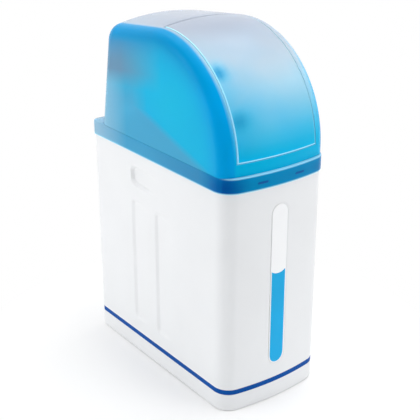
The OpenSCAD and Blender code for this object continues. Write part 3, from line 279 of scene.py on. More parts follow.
def low_rear_shade(tree):
    """Painted shade: greyer low on the hood's rear half, along a slanting line on its side walls."""
    _, y, z = axes(tree)
    (y_low, z_low), (y_high, z_high) = SHADE_LINE_LOW, SHADE_LINE_HIGH
    line = spread(tree, z, y_low * MM, y_high * MM, z_low * MM, z_high * MM)
    past = maths(tree, "SUBTRACT", y, line)
    return times(tree, ramp(tree, z, SHADE_TOP), ramp(tree, past, SHADE_PAST, SHADE_FULL))


def head_shade(tree):
    """The soft grey shape of the control head, seen through the side walls."""
    x, y, z = axes(tree)
    along = times(tree, ramp(tree, y, HEAD_FRONT), ramp(tree, y, HEAD_REAR))
    level = maths(tree, "ADD", z, maths(tree, "MULTIPLY", y, HEAD_TILT))
    tall = times(tree, ramp(tree, level, HEAD_LOW), ramp(tree, level, HEAD_TOP))
    return times(tree, along, tall, ramp(tree, maths(tree, "ABSOLUTE", x), HEAD_WALL, HEAD_FULL))


def border_shade(tree):
    """Painted shade: deeper colour along the side walls' curved border, where the plastic turns into the
    roof.
    """
    x, y, z = axes(tree)
    from_axis = maths(tree, "SUBTRACT", y, AXIS_Y * MM)
    ahead, behind = maths(tree, "MINIMUM", from_axis), maths(tree, "MAXIMUM", from_axis)
    slope = maths(tree, "MULTIPLY", behind, math.tan(rad(TOP_A - 90)))
    up = maths(tree, "ADD", maths(tree, "SUBTRACT", z, AXIS_Z * MM), slope)
    away = maths(tree, "SQRT", maths(tree, "ADD", times(tree, ahead, ahead), times(tree, up, up)))
    inside = ramp(tree, away, BORDER_IN)
    sides = maths(tree, "MAXIMUM", ramp(tree, x, BORDER_LEFT), ramp(tree, x, BORDER_RIGHT))
    return times(tree, inside, inside, sides, ramp(tree, away, BORDER_OUT))


def frosted(name):
    """Frosted translucent plastic with painted shade, painted light and painted highlights; deeper where
    the deep tone is set, with painted edge highlights that glow.
    """
    mat, tree, bsdf = shader(name)
    _, y, z = axes(tree)
    drift = spread(tree, noise(tree, 5), 0, 1)
    colour = blend_colour(tree, drift, TINTS["clear"], TINTS["clear_light"])
    # Painted shade, greyer low on the rear half
    colour = blend_colour(tree, low_rear_shade(tree), colour, TINTS["low_rear_shade"])
    # Painted light, paler towards the rear below the roof
    rear = times(tree, ramp(tree, y, REAR_LIGHT_RUN, REAR_LIGHT_FULL), ramp(tree, z, REAR_LIGHT_TOP))
    colour = blend_colour(tree, rear, colour, TINTS["rear"])
    # Painted shade of the control head, as if seen through the walls
    colour = blend_colour(tree, head_shade(tree), colour, TINTS["head"])
    # Painted shade along the side walls' curved border
    border = blend_colour(tree, ramp(tree, z, BORDER_RISE), TINTS["border_shade_low"], TINTS["border_shade_high"])
    colour = blend_colour(tree, border_shade(tree), colour, border)
    # Painted highlight on upward faces, broken up by noise and greyer on the roof
    painted_highlight = attribute(tree, "painted_highlight")
    cloud = spread(tree, noise(tree, 10, 1), 0.84, 1.05, 0.35, 0.65)
    colour = blend_colour(tree, times(tree, painted_highlight, cloud), colour, TINTS["painted_highlight"])
    colour = blend_colour(tree, times(tree, painted_highlight, ramp(tree, z, ROOF_RISE)), colour, TINTS["roof"])
    # Deeper colour where the deep tone is set: painted shade on the skirt and painted shadows on the lid
    colour = blend_colour(tree, attribute(tree, "deep"), colour, TINTS["deep"])
    # Painted edge highlights along the edges, which also glow as painted light
    edge_highlight = attribute(tree, "pale")
    colour = blend_colour(tree, edge_highlight, colour, TINTS["pale"])
    tree.links.new(colour, bsdf.inputs["Base Color"])
    bsdf.inputs["Emission Color"].default_value = (*TINTS["edge_light"], 1)
    tree.links.new(spread(tree, edge_highlight, 0, 0.22, 0.3, 1.0), bsdf.inputs["Emission Strength"])
    tree.links.new(spread(tree, noise(tree, 60), 0.22, 0.27), bsdf.inputs["Roughness"])
    bsdf.inputs["Transmission Weight"].default_value = 0.36
    bsdf.inputs["IOR"].default_value = 1.25
    bsdf.inputs["Specular Tint"].default_value = (*TINTS["gloss"], 1)
    bump(tree, bsdf, noise(tree, 2200), 0.12, 0.0001)
    return mat


def wound(name):
    """Glass-fibre tank: slanting windings under a clear coat."""
    mat, tree, bsdf = shader(name)
    wave = tree.nodes.new("ShaderNodeTexWave")
    wave.inputs["Scale"].default_value = 60
    wave.inputs["Distortion"].default_value = 3
    wave.inputs["Detail"].default_value = 2
    tilt = tree.nodes.new("ShaderNodeMapping")
    tilt.inputs["Rotation"].default_value = (0, rad(62), 0)
    tree.links.new(place(tree), tilt.inputs["Vector"])
    tree.links.new(tilt.outputs[0], wave.inputs["Vector"])
    tint = blend_colour(tree, wave.outputs["Fac"], (0.13, 0.27, 0.44), (0.18, 0.33, 0.51))
    tree.links.new(tint, bsdf.inputs["Base Color"])
    tree.links.new(spread(tree, noise(tree, 30), 0.25, 0.4), bsdf.inputs["Roughness"])
    bsdf.inputs["Coat Weight"].default_value = 0.4
    bump(tree, bsdf, wave.outputs["Fac"], 0.2, 0.0004)
    return mat


def beads(name):
    """Resin: packed round grains."""
    mat, tree, bsdf = shader(name)
    cells = tree.nodes.new("ShaderNodeTexVoronoi")
    cells.inputs["Scale"].default_value = 900
    tree.links.new(place(tree), cells.inputs["Vector"])
    tint = blend_colour(tree, cells.outputs["Distance"], (0.62, 0.36, 0.10), (0.30, 0.15, 0.03))
    tree.links.new(tint, bsdf.inputs["Base Color"])
    bsdf.inputs["Roughness"].default_value = 0.35
    bump(tree, bsdf, cells.outputs["Distance"], 0.6, 0.0004)
    return mat


# Moulded finishes: colour, roughness, share of colour drift, grain scale, grain strength
FINISHES = {
    "cabinet_white": ((0.86, 0.868, 0.875), 0.42, 0.012, 1600, 0.12),
    "band_navy": ((0.0, 0.078, 0.36), 0.45, 0.06, 1200, 0.1),
    "label_white": ((0.975, 0.98, 0.985), 0.34, 0.006, 1500, 0.03),
    "label_blue": ((0.0, 0.42, 0.80), 0.34, 0.04, 1500, 0.05),
    "catch_navy": ((0.0, 0.10, 0.33), 0.5, 0.06, 1200, 0.15),
    "black_plastic": ((0.022, 0.022, 0.025), 0.45, 0.15, 1100, 0.3),
    "dark_grey": ((0.075, 0.08, 0.09), 0.48, 0.08, 1000, 0.35),
    "mid_grey": ((0.27, 0.28, 0.30), 0.45, 0.06, 1100, 0.25),
    "white_plastic": ((0.78, 0.78, 0.77), 0.40, 0.03, 900, 0.15),
    "gear_ivory": ((0.74, 0.70, 0.56), 0.42, 0.04, 900, 0.15),
    "seal_rubber": ((0.015, 0.015, 0.016), 0.62, 0.15, 700, 0.4),
    "window_dark": ((0.012, 0.02, 0.024), 0.12, 0.1, 300, 0.02),
    "board_green": ((0.02, 0.13, 0.05), 0.35, 0.15, 400, 0.3),
    "knob_red": ((0.50, 0.015, 0.012), 0.34, 0.06, 1000, 0.15),
    "float_orange": ((0.75, 0.20, 0.02), 0.36, 0.06, 1000, 0.15),
    "line_clear": ((0.68, 0.72, 0.76), 0.25, 0.04, 600, 0.08),
}
# Sheen of the trim whose blue the light would wash out
DULL = {"band_navy": 0.08, "label_blue": 0.2, "catch_navy": 0.1}
STEEL = ((0.58, 0.59, 0.61), 0.28, 0.06, 500, 0.2)
BRUSHED = (1, 1, 30)

LOOKS = {slot: plastic(slot, *finish, sheen=DULL.get(slot, 0.5)) for slot, finish in FINISHES.items()}
LOOKS["pin_steel"] = plastic("pin_steel", *STEEL, metal=1.0, stretch=BRUSHED)
LOOKS["frosted_blue"] = frosted("frosted_blue")
LOOKS["tank_blue"] = wound("tank_blue")
LOOKS["resin_amber"] = beads("resin_amber")


# Mesh building, in millimetres of the row frame
class Shape:
    """Points and faces of one piece, with the frosted plastic's tones at each point: a deeper colour, a
    painted edge highlight and a painted highlight on upward faces.
    """

    def __init__(self):
        self.points, self.faces, self.deep, self.pale, self.painted_highlight = [], [], [], [], []

    def point(self, p, deep=0.0, pale=0.0, painted_highlight=0.0):
        self.points.append(tuple(p))
        self.deep.append(deep)
        self.pale.append(pale)
        self.painted_highlight.append(painted_highlight)
        return len(self.points) - 1

    def strip(self, a, b, closed=True):
        n = len(a)
        for k in range(n if closed else n - 1):
            m = (k + 1) % n
            self.faces.append((a[k], a[m], b[m], b[k]))

    def loft(self, loops, closed=True):
        for a, b in zip(loops, loops[1:]):
            self.strip(a, b, closed)

    def caps(self, first, last):
        self.faces.append(tuple(first))
        self.faces.append(tuple(last))

    def slab(self, face, back):
        """Two open grids and the narrow wall round them."""
        for grid in (face, back):
            self.loft(grid, closed=False)
        rims = []
        for g in (face, back):
            right, left = [line[-1] for line in g[1:-1]], [line[0] for line in g[-2:0:-1]]
            rims.append(g[0] + right + g[-1][::-1] + left)
        self.strip(*rims)

    def fill(self, loop):
        """Triangles over a flat outline that isn't convex."""
        flat = [Vector(self.points[k]) for k in loop]
        for t in tessellate_polygon([flat]):
            self.faces.append(tuple(loop[k] for k in t))

    def piece(self, name, body, slot, replaces=(), sharp=35):
        mesh = bpy.data.meshes.new(name)
        mesh.from_pydata([tuple(c * MM for c in p) for p in self.points], [], self.faces)
        for label, values in (("deep", self.deep), ("pale", self.pale), ("painted_highlight", self.painted_highlight)):
            layer = mesh.attributes.new(label, "FLOAT", "POINT")
            layer.data.foreach_set("value", values)
        bm = bmesh.new()
        bm.from_mesh(mesh)
        bmesh.ops.remove_doubles(bm, verts=bm.verts, dist=2e-6)
        bmesh.ops.recalc_face_normals(bm, faces=bm.faces)
        bm.to_mesh(mesh)
        bm.free()
        mesh.shade_smooth()
        mesh.set_sharp_from_angle(angle=rad(sharp))
        ob = bpy.data.objects.new(name, mesh)
        scene.collection.objects.link(ob)
        mesh.materials.append(LOOKS[slot])
        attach(ob, body)
        if replaces:
            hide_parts(*replaces)
        return ob


# Cabinet outline: points with their outward directions, close together where the scoops and the label are
SCOOP_Y0, SCOOP_STEP, SCOOP_N = -66, 2.6, 65
SIDE_Y = [*range(-195, SCOOP_Y0, 16), *(SCOOP_Y0 + SCOOP_STEP * k for k in range(SCOOP_N))]
SIDE_Y += [112, 130, 160, 190, 215]
REAR_X = mirrored((0, 22, 44, NOTCH_HALF, 84, 100))[::-1]
SEAT_X, SEAT_N, PLAIN_N = 26.0, 32, 9
BOW_Y = BOW_R - HALF_D


def front_y(x):
    return BOW_Y - math.sqrt(BOW_R ** 2 - x * x)


def outline():
    xc = HALF_W - CORNER_R
    bow_a = math.degrees(math.asin(xc / (BOW_R - CORNER_R)))
    yc = BOW_Y - (BOW_R - CORNER_R) * math.cos(rad(bow_a))
    pts = []

    def arc(centre, r, a0, a1, n):
        for k in range(n + 1):
            a = a0 + (a1 - a0) * k / n
            pts.append((*polar(centre, r, a), math.cos(rad(a)), math.sin(rad(a))))

    arc((HALF_W - REAR_R, HALF_D - REAR_R), REAR_R, 0, 90, 6)
    pts.extend((x, HALF_D, 0, 1) for x in REAR_X)
    arc((REAR_R - HALF_W, HALF_D - REAR_R), REAR_R, 90, 180, 6)
    pts.extend((-HALF_W, y, -1, 0) for y in reversed(SIDE_Y))
    arc((-xc, yc), CORNER_R, 180, 270 - bow_a, 12)
    wide = math.sin(rad(bow_a)) * BOW_R - SEAT_X
    seat = [2 * SEAT_X * k / SEAT_N - SEAT_X for k in range(SEAT_N + 1)]
    plain = [SEAT_X + wide * k / PLAIN_N for k in range(1, PLAIN_N)]
    for x in [-x for x in reversed(plain)] + seat + plain:
        lean = x / BOW_R
        pts.append((x, front_y(x), lean, -math.sqrt(1 - lean * lean)))
    arc((xc, yc), CORNER_R, 270 + bow_a, 360, 12)
    pts.extend((HALF_W, y, 1, 0) for y in SIDE_Y)
    return pts


OUTLINE = outline()


def grown(p, out):
    """An outline point moved outwards."""
    return p[0] + p[2] * out, p[1] + p[3] * out


# Each scoop in the side walls: rear edge, width, lower end, upper end, depth
SCOOPS = ((98.0, 70.0, 84.0, 381.0, 4.0), (8.0, 70.0, 84.0, 381.0, 4.0), (98.0, 120.0, 413.0, 459.0, 8.0))
SCOOP_CORNER, SCOOP_SLOPE, SCOOP_EASE = 14.0, 7.0, 1.15


def inside_round(u, v, half_u, half_v, r):
    """Distance inside a rectangle with round corners, from its middle."""
    a, b = abs(u) - half_u + r, abs(v) - half_v + r
    return r - math.hypot(max(a, 0), max(b, 0)) - min(max(a, b), 0)


def scoop(y, z):
    """Depth of a side wall's scoops: steep along the rear edge, easing out towards the front."""
    depth = 0.0
    for rear, width, low, high, deep in SCOOPS:
        if rear - width < y < rear and low < z < high:
            ahead = y - rear + width
            reach = inside_round(ahead, z - (low + high) / 2, width, (high - low) / 2, SCOOP_CORNER)
            depth = max(depth, deep * smooth(reach / SCOOP_SLOPE) * smooth(ahead / width * SCOOP_EASE))
    return depth


def dish(x, z):
    """Depth of the shallow seat round the label."""
    mid = min(max(z, LABEL_Z0 + LABEL_R), LABEL_Z1 - LABEL_R)
    away = math.hypot(x, z - mid) - LABEL_R - TRIM_GAP
    return SEAT_DEEP * smooth((SEAT_REACH - away) / SEAT_SLOPE)


def wall_depth(p, z):
    x, y, nx, ny = p
    if abs(nx) == 1:
        return scoop(y, z)
    if abs(x) <= SEAT_X and ny < 0:
        return dish(x, z)
    return 0.0


# Levels of the cabinet's outside: fine rows over the scoops, plain ones that hold the shading flat
FINE_Z0, FINE_STEP, FINE_N = 78.0, 3.1, 126
PLAIN_LOW, PLAIN_MID, PLAIN_HIGH = (22.0,), (62.0, 70.0), (480.0, 500.0)
# Levels of its inside, close together at the scoops' ends
INNER_Z = (490, 470, *range(466, 410, -5), 400, 390, 384, 378, 370, 300, 200, 110, 95, 89, 82, 60)


def cabinet():
    s = Shape()
    groove, low, high = TRIM_T + GROOVE_GAP, BAND_Z0 - TRIM_GAP, BAND_Z1 + TRIM_GAP
    outside = [(FOOT_R * (1 - math.cos(rad(a))), FOOT_R * (1 - math.sin(rad(a)))) for a in range(0, 91, 15)]
    outside += [(z, 0) for z in (*PLAIN_LOW, low - GROOVE_SOFT)]
    outside += [(low, GROOVE_SOFT), (low, groove), (high, groove), (high, GROOVE_SOFT)]
    outside += [(z, 0) for z in (high + GROOVE_SOFT, *PLAIN_MID)]
    outside += [(FINE_Z0 + FINE_STEP * k, 0) for k in range(FINE_N)]
    outside += [(z, 0) for z in (*PLAIN_HIGH, RIM - RIM_SOFT)]
    outside += [(RIM - RIM_SOFT / 3, RIM_SOFT / 4), (RIM, RIM_SOFT)]
    inside = [(RIM, CAB_T - RIM_IN), (RIM - RIM_IN, CAB_T)]
    inside += [(z, CAB_T) for z in (*INNER_Z, FLOOR_Z + FLOOR_SOFT)]
    inside += [(FLOOR_Z + FLOOR_SOFT / 4, CAB_T + FLOOR_SOFT / 4), (FLOOR_Z, CAB_T + FLOOR_SOFT)]
    loops = []
    for z, cut in outside + inside:
        loops.append([s.point((*grown(p, -cut - wall_depth(p, z)), z)) for p in OUTLINE])
    s.loft(loops)
    s.caps(loops[0], loops[-1])
    return s.piece("cabinet_shell", "softener", "cabinet_white", ["cabinet"], 32)


def band():
    s = Shape()
    section = [(out, BAND_Z0 + up) for out, up in BAND_EDGE]
    section += [(out, BAND_Z1 - up) for out, up in reversed(BAND_EDGE)]
    loops = [[s.point((*grown(p, out), z)) for p in OUTLINE] for out, z in section]
    s.loft(loops + loops[:1])
    return s.piece("band_strip", "softener", "band_navy", ["base_band"])


# Label: two thin plates on the bowed front, with soft edges
LABEL_ANGLES = mirrored((0, 12, 24, 36, 48, 60, 70, 80, 86, 90))
PLATE_SOFT, LABEL_ROWS, INLAY_ROWS = 0.45, 60, 48


def plate(name, slot, replaces, r, low, high, rise, thick, rows):
    """A plate of half width r between two outlines low(x) and high(x)."""
    s = Shape()
    xs = [r * math.sin(rad(a)) for a in LABEL_ANGLES]
    face, back = [], []
    for k in range(rows + 1):
        places = [(x, low(x) + (high(x) - low(x)) * k / rows) for x in xs]
        face.append([])
        for x, z in places:
            edge = k in (0, rows) or x in (xs[0], xs[-1])
            face[-1].append(s.point((x, front_y(x) - rise + (PLATE_SOFT if edge else 0), z)))
        back.append([s.point((x, front_y(x) + thick, z)) for x, z in places])
    s.slab(face, back)
    return s.piece(name, "softener", slot, replaces, 50)


def labels():
    foot, head = LABEL_Z0 + LABEL_R, LABEL_Z1 - LABEL_R

    def cap(x, radius):
        return math.sqrt(max(radius ** 2 - x * x, 0))

    def inlay_top(x):
        return INLAY_TOP + INLAY_CAP_R - cap(x, INLAY_CAP_R + TRIM_GAP)

    plate("label_back", "label_white", ["label_plate"], LABEL_R, lambda x: foot - cap(x, LABEL_R),
          lambda x: head + cap(x, LABEL_R), 0.0, TRIM_T, LABEL_ROWS)
    plate("label_field", "label_blue", ["label_inlay"], INLAY_R, lambda x: foot - cap(x, INLAY_R),
          inlay_top, INLAY_RISE, INLAY_T, INLAY_ROWS)


# Hood and lid: a crowned section swept along a side profile
def outward(a):
    return -math.cos(rad(a)), math.sin(rad(a))


def crown_drop(x):
    return CROWN_R - math.sqrt(CROWN_R ** 2 - x * x)


def crown(x):
    """A section point on the crown: across, drop, and its outward direction."""
    a = math.asin(x / CROWN_R)
    return x, CROWN_R - CROWN_R * math.cos(a), math.sin(a), math.cos(a)


EDGE_X = HOOD_HALF - EDGE_R
EDGE_A = math.degrees(math.asin(EDGE_X / (CROWN_R - EDGE_R)))
EDGE_DROP = CROWN_R - (CROWN_R - EDGE_R) * math.cos(rad(EDGE_A))


def edge(a):
    """A section point on the rounded edge between crown and side."""
    return (EDGE_X + EDGE_R * math.sin(rad(a)), EDGE_DROP - EDGE_R * math.cos(rad(a)),
            math.sin(rad(a)), math.cos(rad(a)))


def both(half):
    return [(-p[0], p[1], -p[2], p[3]) for p in reversed(half[1:])] + half


def rear_centre():
    """Middle of the rounding between the sloping top and the leaning rear wall."""
    n, m = outward(TOP_A), outward(REAR_A)
    s = n[0] * AXIS_Y + n[1] * AXIS_Z + HOOD_R - REAR_TOP_R
    t = m[0] * HOOD_REAR + m[1] * HOOD_BASE - REAR_TOP_R
    det = n[0] * m[1] - n[1] * m[0]
    return (s * m[1] - t * n[1]) / det, (t * n[0] - s * m[0]) / det


class Station:
    """A place on the side profile; depth is measured against its outward direction."""

    def __init__(self, y, z, direction, a):
        self.y, self.z, self.d, self.a = y, z, direction, a

    def at(self, p, t):
        d = p[1] + t * p[3]
        return p[0] - t * p[2], self.y - d * self.d[0], self.z - d * self.d[1]


class RearRow:
    """A level row on the straight rear wall, between the profile's last two stations."""

    def __init__(self, top, foot, z):
        self.top, self.foot, self.z, self.a = top, foot, z, 180.0

    def at(self, p, t):
        a, b = self.top.at(p, t), self.foot.at(p, t)
        k = (a[2] - self.z) / (a[2] - b[2])
        return a[0] + (b[0] - a[0]) * k, a[1] + (b[1] - a[1]) * k, self.z


def on_arc(centre, r, a):
    y, z = centre
    return Station(y - r * math.cos(rad(a)), z + r * math.sin(rad(a)), outward(a), a)


def on_front(a):
    return on_arc((AXIS_Y, AXIS_Z), HOOD_R, a)


def as_angle(length):
    return math.degrees(length / HOOD_R)


def moulding(s, rows, cols, outer, inner, keep, tone, sides=False):
    """A closed wall over a grid's kept cells, from depth outer to depth inner; sides fills both flanks."""
    ni, nj = len(rows), len(cols)
    grid = [[[s.point(rows[i].at(cols[j], depth(i, j)), *tone(i, j)) for j in range(nj)] for i in range(ni)]
            for depth in (outer, inner)]
    top, low = grid

    def has(i, j):
        return 0 <= i < ni - 1 and 0 <= j < nj - 1 and keep(i, j)

    def open_side(i, j):
        return not has(i, j) and (0 <= j < nj - 1 if sides else True)

    def wall(a, b):
        s.faces.append((top[a[0]][a[1]], top[b[0]][b[1]], low[b[0]][b[1]], low[a[0]][a[1]]))

    for i in range(ni - 1):
        for j in range(nj - 1):
            if not has(i, j):
                continue
            for g in grid:
                s.faces.append((g[i][j], g[i + 1][j], g[i + 1][j + 1], g[i][j + 1]))
            if open_side(i, j + 1):
                wall((i, j + 1), (i + 1, j + 1))
            if open_side(i, j - 1):
                wall((i, j), (i + 1, j))
            if not has(i - 1, j):
                wall((i, j), (i, j + 1))
            if not has(i + 1, j):
                wall((i + 1, j), (i + 1, j + 1))
    if sides:
        for j in (0, nj - 1):
            for g in grid:
                s.faces.append(tuple(g[i][j] for i in range(ni)))
            wall((0, j), (-1, j))


HIGHLIGHT_FULL, HIGHLIGHT_FROM, HIGHLIGHT_RUN = 0.95, 0.03, 0.80


def upward_highlight(row, p):
    """Painted highlight: how far the colour pales where the surface turns upwards."""
    rise = math.sin(rad(min(max(row.a, 0), 180))) * p[3]
    return HIGHLIGHT_FULL * smooth((rise - HIGHLIGHT_FROM) / HIGHLIGHT_RUN)


LIP_A0 = 1.4
OPEN_A0 = LIP_A0 + as_angle(LIP_T)
FRONT_N, REAR_N, EDGE_N, SILL_N = 40, 14, 14, 8
REAR_LEVELS = (640, NOTCH_Z, 560, 530)
# Where the painted highlight ends towards the left and right borders: start and width
HIGHLIGHT_LEFT, HIGHLIGHT_RIGHT = (99.5, 8.0), (108.0, 18.0)
RIM_LIGHT, SILL_DEEP, LEDGE_DEEP, HINGE_DEEP = 0.4, 0.5, 0.5, 0.3


def hood_rows():
    front = [0, LIP_A0 - as_angle(STEP), LIP_A0, OPEN_A0 - as_angle(SOFT), OPEN_A0]
    front += [OPEN_A0 + (OPEN_A1 - OPEN_A0) * k / FRONT_N for k in range(1, FRONT_N)]
    front += [OPEN_A1, OPEN_A1 + as_angle(SOFT), TOP_A]
    rows = [Station(HOOD_FRONT, HOOD_BASE, (-1, 0), -1.0),
            Station(HOOD_FRONT, HOOD_BASE + HOOD_FOOT, (-1, 0), -0.5)]
    rows += [on_front(a) for a in front]
    turns = [TOP_A + (REAR_A - TOP_A) * k / REAR_N for k in range(REAR_N + 1)]
    rows += [on_arc(rear_centre(), REAR_TOP_R, a) for a in turns]
    top = rows[-1]
    foot = Station(HOOD_REAR, HOOD_BASE, (1 / math.cos(rad(REAR_LEAN)), 0), 181.0)
    return rows + [RearRow(top, foot, z) for z in REAR_LEVELS] + [foot]


def hood_cols():
    half = [crown(x) for x in (0, 16.5, 33, 49.5, NOTCH_HALF, 78, 90, OPEN_HALF, OPEN_HALF + SOFT,
                               OPEN_HALF + LIP_T, OPEN_HALF + LIP_T + STEP)]
    half += [edge(EDGE_A + (90 - EDGE_A) * k / EDGE_N) for k in range(EDGE_N + 1)]
    x, drop, *direction = half[-1]
    half.append((x, drop + SIDE_SINK, *direction))
    return both(half)


def hood(s):
    rows, cols = hood_rows(), hood_cols()
    at_notch = len(rows) - len(REAR_LEVELS)

    def keep(i, j):
        a, x = (rows[i].a + rows[i + 1].a) / 2, abs(cols[j][0] + cols[j + 1][0]) / 2
        in_opening = OPEN_A0 < a < OPEN_A1 and x < OPEN_HALF
        return not in_opening and not (i >= at_notch and x < NOTCH_HALF)

    def on_rim(i, j):
        a, x = rows[i].a, abs(cols[j][0])
        within = OPEN_A0 - NEAR <= a <= OPEN_A1 + NEAR and x <= OPEN_HALF + NEAR
        return within and (x > OPEN_HALF - NEAR or a < OPEN_A0 + NEAR or a > OPEN_A1 - NEAR)

    def outer(i, j):
        return SOFT_DROP if on_rim(i, j) else 0.0

    def inner(i, j):
        a, x = rows[i].a, abs(cols[j][0])
        within = LIP_A0 - NEAR <= a <= OPEN_A1 + NEAR and x < OPEN_HALF + LIP_T + NEAR
        return LIP_D if within and (x > OPEN_HALF - NEAR or a <= OPEN_A0 + NEAR) else WALL

    # Painted edge highlight round the opening, and the painted highlight on upward faces, fading towards
    # the side borders
    def tone(i, j):
        x = cols[j][0]
        start, width = HIGHLIGHT_LEFT if x < 0 else HIGHLIGHT_RIGHT
        glow = RIM_LIGHT if on_rim(i, j) and rows[i].a < OPEN_A1 - 1 else 0.0
        return 0.0, glow, upward_highlight(rows[i], cols[j]) * (1 - smooth((abs(x) - start) / width))

    moulding(s, rows, cols, outer, inner, keep, tone, sides=True)
    return rows, cols


def always(i, j):
    return True


def sill(s):
    """The ledge below the lid's foot, inside the hood's lip."""
    cols = both([crown((OPEN_HALF - SILL_END) * k / SILL_N) for k in range(SILL_N + 1)])
    end = OPEN_A0 + as_angle(SEAM + SILL_W)
    soft_end = end - as_angle(SILL_SOFT + STEP)
    rows = [on_front(a) for a in (LIP_A0, OPEN_A0, OPEN_A0 + as_angle(STEP), soft_end, end)]
    lapped, top = LIP_D - SILL_LAP, LIP_D + SILL_GAP
    tops = (lapped, lapped, top, top, top + SILL_SOFT)
    moulding(s, rows, cols, lambda i, j: tops[i], lambda i, j: top + SILL_T, always,
             lambda i, j: (SILL_DEEP, 0))


# The skirt's section, from its inner foot up to the ledge: growth, height, depth of painted shade, painted
# edge highlight
SKIRT = ((FLANGE_IN, FLANGE_Z, 1.0, 0.3),
         (FLANGE_OUT - 0.8, FLANGE_Z, 0.6, 1.0),
         (FLANGE_OUT - 0.25, FLANGE_Z + 0.25, 0.6, 1.0),
         (FLANGE_OUT, FLANGE_Z + 1.0, 0.6, 1.0),
         (FLANGE_OUT, FLANGE_Z + 3.4, 1.0, 0.0),
         (FLANGE_OUT, FLANGE_Z + 15.0, 1.0, 0.0),
         (FLANGE_OUT, LEDGE_Z1 - 3.6, 0.9, 0.0),
         (FLANGE_OUT - 0.25, LEDGE_Z1 - 1.8, 0.8, 0.5),
         (FLANGE_OUT - 0.9, LEDGE_Z1 - 0.6, 0.7, 0.9),
         (FLANGE_OUT - 2.0, LEDGE_Z1, 0.7, 0.6))
# Its painted shade: along the front, at the rear, what the sides gain towards the front, and where
SKIRT_FRONT, SKIRT_REAR, SKIRT_GAIN, SKIRT_Y, SKIRT_RUN = 0.58, 0.10, 0.34, 90.0, 290.0
# The front corners' deeper painted shade: middle, reach, and what the left and the right one add
CORNER_AT, CORNER_REACH, CORNER_LEFT, CORNER_RIGHT = (112.0, -212.0), 58.0, 0.5, 0.2


def skirt_shade(p):
    """The skirt is deepest round its front corners and lightest towards the rear."""
    at_front = p[3] < -0.5
    run = SKIRT_FRONT if at_front else SKIRT_REAR + SKIRT_GAIN * smooth((SKIRT_Y - p[1]) / SKIRT_RUN)
    away = math.hypot(abs(p[0]) - CORNER_AT[0], p[1] - CORNER_AT[1])
    return run + (CORNER_LEFT if p[0] < 0 else CORNER_RIGHT) * smooth(1 - away / CORNER_REACH)


def skirt_light(p, z):
    """The lower edge is light all round, the upper one along the front."""
    return 1.0 if z < (FLANGE_Z + LEDGE_Z1) / 2 else smooth((-p[3] - 0.3) / 0.6)


def flange(s, rows, cols):
    """The skirt round the rim and the ledge up to the hood, open at the rear for the pipes."""
    places = [p[:2] for p in OUTLINE]
    start, end = (places.index((x, HALF_D)) for x in (-NOTCH_HALF, NOTCH_HALF))
    path = OUTLINE[start:] + OUTLINE[:end + 1]
    loops = []
    for out, z, deep, pale in SKIRT:
        loops.append([s.point((*grown(p, out), z), deep * skirt_shade(p), pale * skirt_light(p, z))
                      for p in path])
    s.loft(loops, closed=False)
    foot = [rows[0].at(p, WALL + FLANGE_LAP) for p in cols]
    back = [rows[-1].at(p, WALL + FLANGE_LAP) for p in reversed(cols)]
    left = [q for q in back if q[0] <= NOTCH_SLACK - NOTCH_HALF]
    right = [q for q in back if q[0] >= NOTCH_HALF - NOTCH_SLACK]
    left[0] = (-NOTCH_HALF, left[0][1], 0)
    right[-1] = (NOTCH_HALF, right[-1][1], 0)
    inside = [q[:2] for q in left + foot + right]
    hole = [[s.point((*q, z), LEDGE_DEEP) for q in inside] for z in (LEDGE_Z1, LEDGE_Z0)]
    under = [s.point((*grown(p, FLANGE_IN), LEDGE_Z0), LEDGE_DEEP) for p in path]
    s.fill(loops[-1] + hole[0][::-1])
    s.strip(hole[0], hole[1], closed=False)
    s.fill(under + hole[1][::-1])
    s.strip(under, loops[0], closed=False)
    for k in (0, -1):
        s.faces.append(tuple(g[k] for g in loops) + (hole[0][k], hole[1][k], under[k]))


# Hinge: the pivot's (y, z), below the hood and behind the seam
PIVOT = (on_front(OPEN_A1 - as_angle(TOP_GAP)).y + PIVOT_BACK, AXIS_Z + HOOD_R - PIVOT_DROP)


def under_hood(x, y):
    """Height of the sloping top."""
    n = outward(TOP_A)
    return (n[0] * AXIS_Y + n[1] * AXIS_Z + HOOD_R - crown_drop(x) - n[0] * y) / n[1]


def prism(s, rim, hole, x0, x1):
    """A plate along X from an outline in (y, z), with a hole of as many points or none."""
    lines = [rim, hole] if hole else [rim]
    ends = [[[s.point((x, y, z), HINGE_DEEP) for y, z in line] for line in lines] for x in (x0, x1)]
    for a, b in zip(*ends):
        s.strip(a, b)
    for e in ends:
        if hole:
            s.strip(e[0], e[1])
        else:
            s.fill(e[0])


def ears(s):
    """Two plates beside each hinge arm, hung from the hood's top and rounded about the pin."""
    py, pz = PIVOT
    bore = PIN_R + EAR_FIT
    off = ARM_W / 2 + EAR_GAP + EAR_T / 2
    for x in (-HINGE_X - off, -HINGE_X + off, HINGE_X - off, HINGE_X + off):
        front, rear = py - BOSS_R, py + 2 * BOSS_R
        z_front, z_rear = (under_hood(x, y) - WALL / 2 for y in (front, rear))
        shares = [k / EAR_TOP_N for k in range(EAR_TOP_N + 1)]
        rim = [(rear + (front - rear) * t, z_rear + (z_front - z_rear) * t) for t in shares]
        rim += [polar(PIVOT, BOSS_R, 180 + 180 * k / EAR_ROUND_N) for k in range(EAR_ROUND_N + 1)]
        hole = []
        for y, z in rim:
            d = math.hypot(y - py, z - pz)
            hole.append((py + bore * (y - py) / d, pz + bore * (z - pz) / d))
        prism(s, rim, hole, x - EAR_T / 2, x + EAR_T / 2)


def cover():
    shell, skirt, ribs = Shape(), Shape(), Shape()
    rows, cols = hood(shell)
    shell.piece("hood_shell", "cover", "frosted_blue", ["top_cover"], 38)
    flange(skirt, rows, cols)
    skirt.piece("hood_flange", "cover", "frosted_blue", [], 38)
    sill(ribs)
    ears(ribs)
    ribs.piece("hood_ribs", "cover", "frosted_blue", [], 38)


